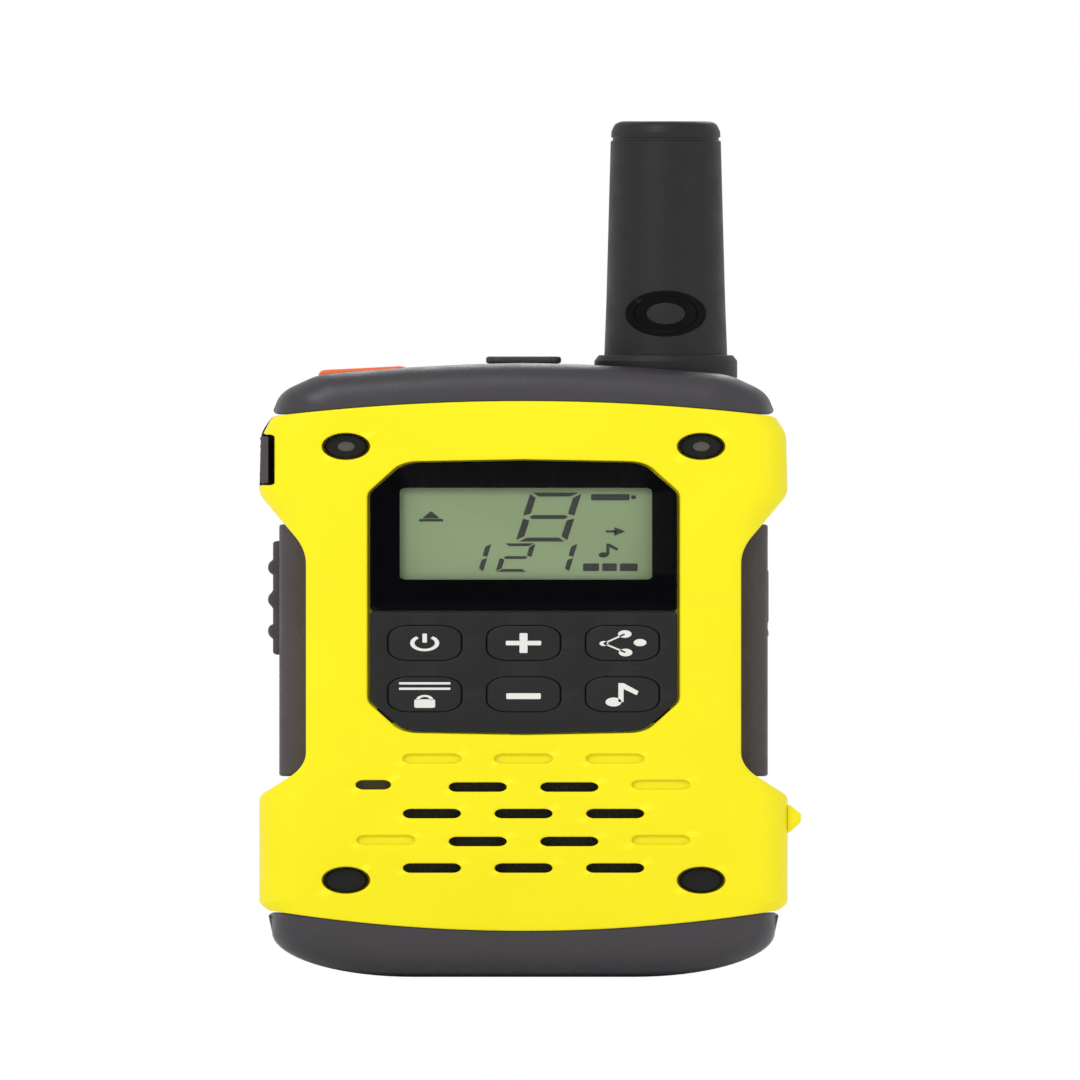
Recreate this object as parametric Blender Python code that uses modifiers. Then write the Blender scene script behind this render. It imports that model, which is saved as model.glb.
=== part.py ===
"""A handheld two way radio, modelled as the separate pieces that it is assembled from.

The front faces -Y, +X is to the right and +Z is up. The origin is the middle of the flat base.
Sizes are in millimetres and are turned into metres by MM when a mesh is made.
"""

import math

import bmesh
import bpy
from mathutils import Matrix, Vector

MM = 0.001

# Body
FRONT = -17.0
BACK = 17.0
PARTING = -7.0
HALF_GAP = 0.15
GAP = 0.3
FRONT_WALL_INNER = -14.2
BACK_WALL_INNER = 14.6
WALL = 2.4
WAIST = 27.2
GRIP_HALF = 30.4
FLARE_HALF = 33.0
CAP_DEPTH = 16.6
TOP_CROWN = 128.1
TOP_CROWN_FALL = 290.0
BOTTOM_CROWN = 10.1
BOTTOM_CROWN_RISE = 220.0

# Front panel
BEZEL_HALF = 19.1
BEZEL_TOP = 114.2
BEZEL_BOTTOM = 54.6
BEZEL_SPLIT = 81.3
BEZEL_CUT = (4.3, 6.6)
PANEL_FRONT = -17.2
PANEL_BACK = -15.6
RECESS_FLOOR = -15.3
WINDOW = (-15.4, 16.0, 88.3, 108.7)
KEY_SIZE = (9.2, 7.8)
KEY_COLUMN = 12.3
KEY_ROWS = (74.2, 62.8)
KEY_NAMES = (("key_power", "key_up", "key_share"), ("key_menu", "key_down", "key_tone"))

# Speaker
SPEAKER_Z = 36.3
SPEAKER_R = 17.3
SLOT = (7.2, 2.1)
NARROW_ROW = (-5.7, 5.7)
WIDE_ROW = (-11.4, 0.0, 11.4)
SLOT_ROWS = ((42.2, NARROW_ROW), (36.3, WIDE_ROW), (30.1, NARROW_ROW), (24.2, WIDE_ROW))
DIMPLES = ((-11.4, 48.5), (0.0, 48.5), (11.4, 48.5), (17.1, 42.7), (-17.1, 30.4), (17.1, 30.4))
MIC = (-18.7, 42.7)
BARRIER = (-16.0, 16.0, 22.0, 44.6)

# Screws
SCREW_X = 22.1
SCREW_Z = (117.9, 21.5)

# Side buttons
PTT_Z = (71.6, 96.9)
PTT_Y = (-4.0, 6.0)
PTT_FACE = -31.2
PTT_INNER = -24.5
PTT_RIDGES = (91.0, 83.9, 76.9)
TORCH_Z = (109.4, 120.4)
TORCH_Y = (-15.3, 4.5)

# Top
ANTENNA = (17.7, 2.0)
ANTENNA_TOP = 190.2
JACK_HALF = 4.9
JACK_HINGE = (5.5, 137.1)
SOS = (-19.9, 11.2)

# Charging port
PORT_Z = (75.5, 90.5)
PORT_Y = (-6.0, 2.0)

# Battery and its door
BAY = (22.0, 18.5, 72.0)
DOOR_HALF = 25.2
DOOR_Z = (15.0, 75.5)
DOOR_INNER = 15.0
DOOR_HINGE = (16.8, 15.2)
CELL_R = 7.1
CELL_PITCH = 14.45
LATCH_Z = (68.2, 75.2)

# Belt clip
CLIP_PIN = (22.2, 115.0)
CLIP_HALF = 9.0
CLIP_Z = (78.5, 127.0)
CLIP_ARM_Y = (24.2, 27.0)
RAIL_Z = (103.0, 119.0)

FINISHES = {
    "yellow_shell": ((0.95, 0.80, 0.02), 0.35, 0.0),
    "dark_shell": ((0.035, 0.035, 0.037), 0.55, 0.0),
    "dark_rubber": ((0.06, 0.06, 0.062), 0.75, 0.0),
    "black_gloss": ((0.006, 0.006, 0.008), 0.08, 0.0),
    "keypad_rubber": ((0.028, 0.028, 0.029), 0.6, 0.0),
    "seal_rubber": ((0.02, 0.02, 0.02), 0.8, 0.0),
    "orange_button": ((0.90, 0.22, 0.03), 0.45, 0.0),
    "lcd": ((0.24, 0.32, 0.16), 0.25, 0.0),
    "light_guide": ((0.80, 0.82, 0.78), 0.4, 0.0),
    "circuit_board": ((0.02, 0.18, 0.07), 0.5, 0.0),
    "tinned_steel": ((0.62, 0.62, 0.60), 0.35, 1.0),
    "paper_cone": ((0.05, 0.05, 0.05), 0.9, 0.0),
    "mesh_fabric": ((0.03, 0.03, 0.03), 0.95, 0.0),
    "switch_plastic": ((0.12, 0.12, 0.13), 0.5, 0.0),
    "spring_steel": ((0.55, 0.55, 0.56), 0.3, 1.0),
    "brass": ((0.72, 0.52, 0.20), 0.35, 1.0),
    "clear_lens": ((0.85, 0.88, 0.90), 0.05, 0.0),
    "battery_wrap": ((0.05, 0.16, 0.35), 0.4, 0.0),
}


# ---------- scene and finish helpers ----------


def clear_scene():
    """Remove every object of the open file."""
    for obj in list(bpy.data.objects):
        bpy.data.objects.remove(obj, do_unlink=True)


def make_collection(name):
    """A new collection in the scene."""
    collection = bpy.data.collections.new(name)
    bpy.context.scene.collection.children.link(collection)
    return collection


def make_material(name):
    """A Principled material with the colour, roughness and metallic value of a finish."""
    colour, roughness, metallic = FINISHES[name]
    material = bpy.data.materials.new(name)
    material.use_nodes = True
    shader = material.node_tree.nodes["Principled BSDF"]
    shader.inputs["Base Color"].default_value = (*colour, 1.0)
    shader.inputs["Roughness"].default_value = roughness
    shader.inputs["Metallic"].default_value = metallic
    material.diffuse_color = (*colour, 1.0)
    return material


def finish(obj, name):
    """Give an object its material, and smooth shading with sharp edges kept."""
    obj.data.materials.clear()
    obj.data.materials.append(MATERIALS[name])
    obj.data.shade_smooth()
    obj.data.set_sharp_from_angle(angle=math.radians(35))
    return obj


def set_origin(obj, x, y, z):
    """Move an object's origin to a point in millimetres, leaving its shape where it is."""
    point = Vector((x, y, z)) * MM
    obj.data.transform(Matrix.Translation(-point))
    obj.location = point
    return obj


# ---------- outlines: corners are (x, z, radius), a radius of 0 keeps the point ----------


def mirrored(half):
    """A whole closed outline from its right half, which runs from the top to the bottom."""
    left = [(-x, z, r) for x, z, r in reversed(half) if x > 0]
    return list(half) + left


def box_corners(x_low, x_high, z_low, z_high, radius):
    """A rectangle with round corners."""
    lower = [(x_low, z_low, radius), (x_high, z_low, radius)]
    upper = [(x_high, z_high, radius), (x_low, z_high, radius)]
    return lower + upper


def fillet(corners, steps=3):
    """The outline's points, with an arc of a few steps at each corner that has a radius."""
    points = []
    count = len(corners)
    for i, (x, z, radius) in enumerate(corners):
        corner = Vector((x, z))
        if radius <= 0:
            points.append(corner)
            continue
        before = (Vector(corners[i - 1][:2]) - corner).normalized()
        after = (Vector(corners[(i + 1) % count][:2]) - corner).normalized()
        half_angle = before.angle(after) / 2
        tangent = radius / math.tan(half_angle)
        middle = corner + (before + after).normalized() * radius / math.sin(half_angle)
        start = corner + before * tangent - middle
        end = corner + after * tangent - middle
        turn = start.angle_signed(end)
        for step in range(steps + 1):
            angle = -turn * step / steps
            points.append(middle + Matrix.Rotation(angle, 2) @ start)
    return [(p.x, p.y) for p in points]


def signed_area(corners):
    """Twice the area of an outline, positive when it runs anticlockwise."""
    area = 0.0
    for i, corner in enumerate(corners):
        x0, z0 = corners[i - 1][:2]
        x1, z1 = corner[:2]
        area += x0 * z1 - x1 * z0
    return area


def shrink(corners, distance):
    """The outline moved inwards by a distance, with its radii following."""
    turn = 1 if signed_area(corners) > 0 else -1
    count = len(corners)
    moved = []
    for i, (x, z, radius) in enumerate(corners):
        corner = Vector((x, z))
        along_in = (corner - Vector(corners[i - 1][:2])).normalized()
        along_out = (Vector(corners[(i + 1) % count][:2]) - corner).normalized()
        normal_in = Vector((-along_in.y, along_in.x)) * turn
        normal_out = Vector((-along_out.y, along_out.x)) * turn
        bisector = (normal_in + normal_out).normalized()
        shift = bisector * distance / bisector.dot(normal_in)
        convex = turn * (along_in.x * along_out.y - along_in.y * along_out.x) > 0
        if radius > 0:
            radius = max(radius - distance, 0.2) if convex else radius + distance
        moved.append((x + shift.x, z + shift.y, radius))
    return moved


def top_edge(x):
    """Height of the seam between the shell and the top bumper."""
    return TOP_CROWN - x * x / TOP_CROWN_FALL


def bottom_edge(x):
    """Height of the seam between the shell and the bottom bumper."""
    return BOTTOM_CROWN + x * x / BOTTOM_CROWN_RISE


def silhouette():
    """The front outline of the whole body, without the antenna."""
    half = [(0, 136.5, 0), (7, 136.1, 0), (14, 135.5, 0), (25.5, 133.9, 5), (30.2, 130.0, 5)]
    half += [(30.9, 126.0, 4), (FLARE_HALF, 120.5, 9), (FLARE_HALF, 106.5, 8)]
    half += [(GRIP_HALF, 101.0, 6), (GRIP_HALF, 46.0, 6), (FLARE_HALF, 40.0, 5)]
    half += [(FLARE_HALF, 16.2, 2.5), (31.3, 13.6, 1)]
    foot_x, foot_a, foot_b = 13.8, 17.5, 10.0
    for step in range(6):
        angle = math.radians(18 * step)
        half.append((foot_x + foot_a * math.cos(angle), foot_b - foot_b * math.sin(angle), 0))
    half.append((0, 0, 0))
    return mirrored(half)


def shell_region(offset=0.0):
    """Where the yellow cover and the housing behind it are, made narrower by an offset."""
    across = (0, 9, 18, 27, 36)
    half = [(x, top_edge(x), 0) for x in across]
    half += [(36, 113.5, 0), (WAIST, 95.0, 14), (WAIST, 46.8, 8), (36, 36.9, 0)]
    half += [(x, bottom_edge(x), 0) for x in reversed(across)]
    corners = mirrored(half)
    return shrink(corners, offset) if offset else corners


def shell_outline():
    """The outline of the shell's outside, for what follows its wall, such as the seal."""
    across = (0, 10, 20)
    half = [(x, top_edge(x), 0) for x in across] + [(30.6, 124.8, 4)]
    half += [(30.6, 106.0, 8), (WAIST, 95.0, 14), (WAIST, 46.8, 8)]
    half += [(FLARE_HALF, 40.3, 3), (FLARE_HALF, 15.5, 4)]
    half += [(x, bottom_edge(x), 0) for x in reversed(across)]
    return mirrored(half)


def cavity_outline():
    """The inside of the shell: its four corners stay solid around the screws."""
    half = [(0, 124.8, 0), (17.0, 124.0, 2), (17.0, 113.0, 1), (24.8, 111.5, 2)]
    half += [(24.8, 30.0, 2), (17.6, 28.5, 1), (17.6, 15.2, 2), (0, 14.0, 0)]
    return mirrored(half)


def bezel_corners(z_low, z_high, cut_low, cut_high):
    """The front panel between two heights, with its corners cut off where it ends."""
    cut_x, cut_z = BEZEL_CUT
    half = [(0, z_high + (0.5 if cut_high else 0), 0)]
    if cut_high:
        half += [(BEZEL_HALF - cut_x, z_high, 2.5), (BEZEL_HALF, z_high - cut_z, 3)]
    else:
        half += [(BEZEL_HALF, z_high, 0)]
    if cut_low:
        half += [(BEZEL_HALF, z_low + cut_z, 3), (BEZEL_HALF - cut_x, z_low, 2.5)]
    else:
        half += [(BEZEL_HALF, z_low, 0)]
    half += [(0, z_low - (0.5 if cut_low else 0), 0)]
    return mirrored(half)


# ---------- solids ----------


def add_object(name, mesh, collection=None):
    """A new object at the origin, in the radio's collection unless another is given."""
    obj = bpy.data.objects.new(name, mesh)
    (collection or PARTS).objects.link(obj)
    return obj


def from_bmesh(name, bm):
    """A new object from a bmesh, with its faces turned outwards."""
    bmesh.ops.recalc_face_normals(bm, faces=bm.faces)
    mesh = bpy.data.meshes.new(name)
    bm.to_mesh(mesh)
    bm.free()
    return add_object(name, mesh)


def plate(name, corners, y_front, y_back, steps=3):
    """A flat outline in XZ with a thickness along Y, from a filled 2D curve."""
    points = fillet(corners, steps)
    curve = bpy.data.curves.new(name, "CURVE")
    curve.dimensions = "2D"
    curve.fill_mode = "BOTH"
    curve.extrude = (y_back - y_front) / 2 * MM
    spline = curve.splines.new("POLY")
    spline.points.add(len(points) - 1)
    for slot, (x, z) in zip(spline.points, points):
        slot.co = (x * MM, z * MM, 0, 1)
    spline.use_cyclic_u = True
    source = add_object(name + "_outline", curve)
    graph = bpy.context.evaluated_depsgraph_get()
    mesh = bpy.data.meshes.new_from_object(source.evaluated_get(graph))
    bpy.data.objects.remove(source)
    bm = bmesh.new()
    bm.from_mesh(mesh)
    bpy.data.meshes.remove(mesh)
    bmesh.ops.remove_doubles(bm, verts=bm.verts, dist=1e-7)
    bmesh.ops.dissolve_limit(bm, angle_limit=math.radians(1), verts=bm.verts, edges=bm.edges)
    upright = Matrix.Translation((0, (y_front + y_back) / 2 * MM, 0)) @ Matrix.Rotation(math.pi / 2, 4, "X")
    bm.transform(upright)
    return from_bmesh(name, bm)


def loft(name, sections, steps=3):
    """A skin over outlines with the same corners, each at its own depth, closed at both ends."""
    bm = bmesh.new()
    loops = []
    for y, corners in sections:
        ring = [bm.verts.new((x * MM, y * MM, z * MM)) for x, z in fillet(corners, steps)]
        loops.append(ring)
    for ring in (loops[0], loops[-1]):
        bm.faces.new(ring)
    for near, far in zip(loops, loops[1:]):
        for i in range(len(near)):
            bm.faces.new((near[i - 1], near[i], far[i], far[i - 1]))
    return from_bmesh(name, bm)


def pillow(name, corners, y_front, y_back, edge, steps=3):
    """An outline given a depth, with its front and back edges rounded."""
    sections = []
    for share in (0.0, 1 / 3, 2 / 3, 1.0):
        angle = share * math.pi / 2
        sections.append((y_front + edge * (1 - math.sin(angle)), edge * (1 - math.cos(angle))))
    sections.reverse()
    layers = [(y, shrink(corners, inset) if inset > 1e-6 else corners) for y, inset in sections]
    mirror_y = y_front + y_back
    layers += [(mirror_y - y, outline) for y, outline in reversed(layers)]
    return loft(name, layers, steps)


def block(name, x, y, z):
    """A box from its low and high value along each axis."""
    bm = bmesh.new()
    bmesh.ops.create_cube(bm, size=MM)
    sides = Vector((x[1] - x[0], y[1] - y[0], z[1] - z[0]))
    middle = Vector((x[0] + x[1], y[0] + y[1], z[0] + z[1])) / 2
    bm.transform(Matrix.Translation(middle * MM) @ Matrix.Diagonal((*sides, 1)))
    return from_bmesh(name, bm)


def rod(name, centre, radius, low, high, axis="Y", sides=20, tip_radius=None):
    """A cylinder or cone along an axis; centre gives its other two coordinates, in X, Y, Z order."""
    bm = bmesh.new()
    end_radius = radius if tip_radius is None else tip_radius
    bmesh.ops.create_cone(
        bm,
        cap_ends=True,
        segments=sides,
        radius1=radius * MM,
        radius2=end_radius * MM,
        depth=(high - low) * MM,
    )
    middle = (low + high) / 2
    if axis == "X":
        place = Matrix.Translation(Vector((middle, *centre)) * MM) @ Matrix.Rotation(math.pi / 2, 4, "Y")
    elif axis == "Y":
        place = Matrix.Translation(Vector((centre[0], middle, centre[1])) * MM)
        place = place @ Matrix.Rotation(-math.pi / 2, 4, "X")
    else:
        place = Matrix.Translation(Vector((*centre, middle)) * MM)
    bm.transform(place)
    return from_bmesh(name, bm)


def turned(name, profile, location, facing_front=False, closed=False, sides=24):
    """A turned piece: a profile of (radius, height), run down its outer side, with a Screw."""
    mesh = bpy.data.meshes.new(name)
    edges = [(i, i + 1) for i in range(len(profile) - 1)]
    if closed:
        edges.append((len(profile) - 1, 0))
    mesh.from_pydata([(r * MM, 0, h * MM) for r, h in profile], edges, [])
    obj = add_object(name, mesh)
    obj.location = Vector(location) * MM
    if facing_front:
        obj.rotation_euler = (math.pi / 2, 0, 0)
    screw = obj.modifiers.new("turn", "SCREW")
    screw.axis = "Z"
    screw.steps = sides
    screw.render_steps = sides
    screw.use_merge_vertices = True
    screw.merge_threshold = 1e-6
    return obj


def wire(name, points, radius, resolution=1):
    """A bent wire: a curve with round section and filled ends, made a closed mesh."""
    curve = bpy.data.curves.new(name, "CURVE")
    curve.dimensions = "3D"
    curve.bevel_depth = radius * MM
    curve.bevel_resolution = resolution
    curve.use_fill_caps = True
    spline = curve.splines.new("POLY")
    spline.points.add(len(points) - 1)
    for slot, point in zip(spline.points, points):
        slot.co = (*(Vector(point) * MM), 1)
    source = add_object(name + "_path", curve)
    graph = bpy.context.evaluated_depsgraph_get()
    mesh = bpy.data.meshes.new_from_object(source.evaluated_get(graph))
    bpy.data.objects.remove(source)
    bm = bmesh.new()
    bm.from_mesh(mesh)
    bpy.data.meshes.remove(mesh)
    bmesh.ops.remove_doubles(bm, verts=bm.verts, dist=1e-7)
    return from_bmesh(name, bm)


def helix(x, y, z, radius, pitch, turns, per_turn, axis="Z"):
    """Points along a helix that starts at (x, y, z) and climbs along its axis."""
    points = []
    for step in range(int(turns * per_turn) + 1):
        angle = 2 * math.pi * step / per_turn
        rise = pitch * step / per_turn
        if axis == "Z":
            points.append((x + radius * math.cos(angle), y + radius * math.sin(angle), z + rise))
        else:
            points.append((x + rise, y + radius * math.cos(angle), z + radius * math.sin(angle)))
    return points


def round_edges(obj, width, segments=2, angle=40):
    """Bevel the edges that are sharper than an angle."""
    bevel = obj.modifiers.new("round", "BEVEL")
    bevel.width = width * MM
    bevel.segments = segments
    bevel.limit_method = "ANGLE"
    bevel.angle_limit = math.radians(angle)
    return obj


def boolean(obj, other, operation):
    """Combine an object with another, which becomes a hidden guide."""
    modifier = obj.modifiers.new(operation.lower(), "BOOLEAN")
    modifier.operation = operation
    modifier.solver = "EXACT"
    modifier.object = other
    if other.name not in CUTTERS.objects:
        PARTS.objects.unlink(other)
        CUTTERS.objects.link(other)
        other.hide_render = True
        other.display_type = "WIRE"
    return obj


def cut(obj, *others):
    """Take other shapes away."""
    for other in others:
        boolean(obj, other, "DIFFERENCE")
    return obj


def keep(obj, other):
    """Keep what lies inside another shape."""
    return boolean(obj, other, "INTERSECT")


def join(obj, *others):
    """Add other shapes."""
    for other in others:
        boolean(obj, other, "UNION")
    return obj


def body_blank(name, depth=BACK, edge=3.6):
    """The whole body as one rounded solid, from which the outer pieces are taken."""
    return pillow(name, silhouette(), -depth, depth, edge)


# ---------- shell ----------


def slot_cutter(name, x, z, length, y_front, y_back):
    """A slot with round ends, for cutting through the front."""
    half_length = length / 2
    half_height = SLOT[1] / 2
    ends = half_height - 0.01
    corners = box_corners(x - half_length, x + half_length, z - half_height, z + half_height, ends)
    return plate(name, corners, y_front, y_back, steps=2)


def make_front_cover():
    """The yellow cover: display window, key holes, speaker slots, screw wells and lanyard lug."""
    cover = body_blank("front_cover")
    keep(cover, plate("front_region", shell_region(HALF_GAP), FRONT - 5, PARTING - HALF_GAP))
    lug_corners = [(32.0, 38.6, 0), (34.6, 36.0, 0.6), (34.5, 34.6, 0.4), (32.0, 31.6, 0)]
    join(cover, plate("lug_add", lug_corners, -13.0, -8.6, 2))
    cut(cover, plate("front_cavity", cavity_outline(), FRONT_WALL_INNER, PARTING + 2))
    recess = bezel_corners(BEZEL_BOTTOM - GAP, BEZEL_TOP + GAP, True, True)
    recess = [(x * (BEZEL_HALF + GAP) / BEZEL_HALF, z, r) for x, z, r in recess]
    cut(cover, plate("bezel_recess", recess, FRONT - 5, RECESS_FLOOR))
    x_low, x_high, z_low, z_high = WINDOW
    through = (FRONT, FRONT_WALL_INNER + 1)
    cut(cover, block("window_cut", (x_low - 1, x_high + 1), through, (z_low - 1, z_high + 1)))
    for row, names in zip(KEY_ROWS, KEY_NAMES):
        for column, name in zip((-KEY_COLUMN, 0, KEY_COLUMN), names):
            cut(cover, rod(name + "_hole", (column, row), 2.6, FRONT, FRONT_WALL_INNER + 1, sides=12))
    for z, places in SLOT_ROWS:
        for x in places:
            cut(cover, slot_cutter("speaker_slot", x, z, SLOT[0], FRONT - 1, FRONT_WALL_INNER + 1))
    cut(cover, slot_cutter("mic_slot", MIC[0], MIC[1], 4.4, FRONT - 1, FRONT_WALL_INNER + 1))
    for x, z in DIMPLES:
        cut(cover, slot_cutter("dimple", x, z, SLOT[0], FRONT - 1, FRONT + 0.5))
    for side in (-1, 1):
        for z in SCREW_Z:
            cut(cover, rod("screw_well", (side * SCREW_X, z), 3.0, FRONT - 1, -13.6))
            cut(cover, rod("screw_shank_hole", (side * SCREW_X, z), 1.55, -14.0, PARTING + 1, sides=12))
    cut(cover, torch_pocket())
    return finish(cover, "yellow_shell")


def torch_pocket():
    """The shallow pocket in the left flare where the side button lies, open to the front."""
    return block("torch_pocket", (-40, -31.1), (FRONT - 5, TORCH_Y[1]), TORCH_Z)


def make_rear_housing():
    """The dark housing: battery bay, door rebate, clip rail, pockets for switches and sockets."""
    housing = body_blank("rear_housing")
    keep(housing, plate("rear_region", shell_region(HALF_GAP), PARTING + HALF_GAP, BACK + 5))
    rail_stem = block("rail_stem", (-3.4, 3.4), (BACK - 1, 17.95), RAIL_Z)
    rail_head = block("rail_head", (-5.6, 5.6), (17.9, 18.8), RAIL_Z)
    belt_pad = block("belt_pad", (-8, 8), (BACK - 1, BACK + 0.25), (82, 102))
    join(housing, rail_stem, rail_head, belt_pad)
    upper = [(0, 124.8, 0), (17.0, 124.0, 2), (17.0, 113.0, 1), (24.8, 111.5, 2)]
    upper += [(24.8, 79.0, 2), (0, 79.0, 0)]
    cut(housing, plate("upper_cavity", mirrored(upper), PARTING - 1, BACK_WALL_INNER))
    cut(housing, plate("shallow_cavity", cavity_outline(), PARTING - 1, -2.2))
    half, low, high = BAY
    cut(housing, plate("bay_cut", box_corners(-half, half, low, high, 1.5), 0.0, BACK + 1, 2))
    rebate = box_corners(-DOOR_HALF - GAP, DOOR_HALF + GAP, DOOR_Z[0] - GAP, DOOR_Z[1] + GAP, 3.3)
    cut(housing, plate("door_rebate", rebate, DOOR_INNER - GAP, BACK + 1))
    cut(housing, ring_plate("door_groove", door_ring(-0.3), door_ring(1.3), 13.6, DOOR_INNER))
    cut(housing, block("latch_notch", (-3.4, 3.4), (DOOR_INNER - GAP, BACK + 2), (DOOR_Z[1] - 1, 78.0)))
    cut(housing, ring_plate("seal_groove", shell_ring(1.1), shell_ring(2.5), PARTING - 1, -5.0))
    for side in (-1, 1):
        for z in SCREW_Z:
            cut(housing, rod("pilot_hole", (side * SCREW_X, z), 1.55, PARTING - 1, -2.2, sides=12))
    low, high = PTT_Z
    y_span = (PTT_Y[0] - GAP, PTT_Y[1] + GAP)
    cut(housing, block("ptt_window", (-40, -23.5), y_span, (low - GAP, high + GAP)))
    cut(housing, torch_pocket())
    cut(housing, block("torch_stem_hole", (-33, -28), (-1.3, 3.3), (111.9, 118.1)))
    cut(housing, block("torch_switch_pocket", (-29.7, -25.2), (PARTING - 1, 3.6), (111.4, 118.6)))
    cut(housing, block("sos_switch_pocket", (-21.4, -16.0), (PARTING - 1, 2.5), (122.6, 131.0)))
    cut(housing, block("jack_pocket", (-3.8, 3.8), (PARTING - 1, 3.8), (119.0, 131.0)))
    cut(housing, rod("antenna_pocket", ANTENNA, 4.6, 120.6, 131.0, "Z"))
    cut(housing, block("port_window", (22, 40), (-4.8, -1.2), (78.6, 87.4)))
    return finish(housing, "dark_shell")


def shell_ring(offset):
    """The shell's outline moved inwards, for the seal and its groove."""
    return shrink(shell_outline(), offset)


def door_ring(offset):
    """The door seal's outline moved inwards."""
    return shrink(box_corners(-23.9, 23.9, 16.4, 74.1, 2.5), offset)


def ring_plate(name, outer, inner, y_front, y_back):
    """A flat ring between two outlines."""
    ring = plate(name, outer, y_front, y_back)
    return cut(ring, plate(name + "_hole", inner, y_front - 1, y_back + 1))


def make_bumpers():
    """The rubber caps over the top and the bottom of the body."""
    across = (-36, -27, -18, -9, 0, 9, 18, 27, 36)
    above = [(x, top_edge(x) + HALF_GAP, 0) for x in across] + [(40, 150, 0), (-40, 150, 0)]
    below = [(x, bottom_edge(x) - HALF_GAP, 0) for x in across] + [(40, -5, 0), (-40, -5, 0)]
    inner = shrink(silhouette(), WALL)

    top = body_blank("top_bumper", CAP_DEPTH, 5.0)
    keep(top, plate("top_region", above, -20, 20))
    cut(top, plate("top_cavity", inner, -CAP_DEPTH + WALL, CAP_DEPTH - WALL))
    cut(top, rod("collar_pocket", ANTENNA, 9.2, 132.7, 145, "Z", 28))
    cut(top, rod("ferrule_hole", ANTENNA, 4.7, 120, 140, "Z"))
    cut(top, rod("jack_hole", (0, 0), 3.2, 125, 145, "Z", 16))
    half = SOS[1] / 2 + GAP
    cut(top, block("sos_hole", (SOS[0] - half, SOS[0] + half), (-4.8, 4.8), (128, 145)))
    finish(top, "dark_rubber")

    bottom = body_blank("bottom_bumper", CAP_DEPTH, 5.0)
    keep(bottom, plate("bottom_region", below, -20, 20))
    cut(bottom, plate("bottom_cavity", inner, -CAP_DEPTH + WALL, CAP_DEPTH - WALL))
    cut(bottom, rod("torch_well", (0, 7.2), 4.4, -5, 1.9, "Z"), rod("torch_hole", (0, 7.2), 3.4, 0, 5, "Z"))
    finish(bottom, "dark_rubber")


def make_grips():
    """The rubber grips along the waist; the left one is open for the talk button."""
    for name, side in (("left_grip", -1), ("right_grip", 1)):
        grip = body_blank(name, 15.0, 3.0)
        side_x = sorted((side * 26.5, side * 40))
        keep(grip, block(name + "_region", side_x, (-13.2, 13.2), (44.6, 100.6)))
        cut(grip, plate(name + "_inner", shell_region(-GAP + HALF_GAP), -20, 20))
        if side < 0:
            y_span = (PTT_Y[0] - GAP, PTT_Y[1] + GAP)
            cut(grip, block("ptt_grip_window", (-40, -26), y_span, (PTT_Z[0] - GAP, PTT_Z[1] + GAP)))
        else:
            y_span = (PORT_Y[0] - GAP, PORT_Y[1] + GAP)
            cut(grip, block("port_grip_window", (26, 40), y_span, (PORT_Z[0] - GAP, PORT_Z[1] + GAP)))
        finish(grip, "dark_rubber")


def make_seal():
    """The rubber cord between the cover and the housing."""
    seal = ring_plate("housing_seal", shell_ring(1.35), shell_ring(2.25), PARTING + 0.3, -5.25)
    finish(seal, "seal_rubber")


def make_screws():
    """Four cap screws that hold the cover to the housing."""
    places = (("top_left", -1, 0), ("top_right", 1, 0), ("bottom_left", -1, 1), ("bottom_right", 1, 1))
    for label, side, row in places:
        centre = (side * SCREW_X, SCREW_Z[row])
        screw = turned(
            "screw_" + label,
            [(0, 1.4), (2.3, 1.4), (2.6, 1.1), (2.6, 0), (1.25, 0), (1.25, -10.6), (0.6, -11.3), (0, -11.3)],
            (centre[0], -13.9, centre[1]),
            facing_front=True,
            sides=12,
        )
        cut(screw, rod("driver_" + label, centre, 1.1, -16, -14.5, sides=6))
        finish(screw, "tinned_steel")


# ---------- front panel ----------


def key_centres():
    """Each key's name and the middle of its face."""
    for row, names in zip(KEY_ROWS, KEY_NAMES):
        for column, name in zip((-KEY_COLUMN, 0, KEY_COLUMN), names):
            yield name, column, row


def key_corners(x, z, grow=0.0):
    """The outline of one key."""
    half_x, half_z = KEY_SIZE[0] / 2 + grow, KEY_SIZE[1] / 2 + grow
    return box_corners(x - half_x, x + half_x, z - half_z, z + half_z, 2.6 + grow)


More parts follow.
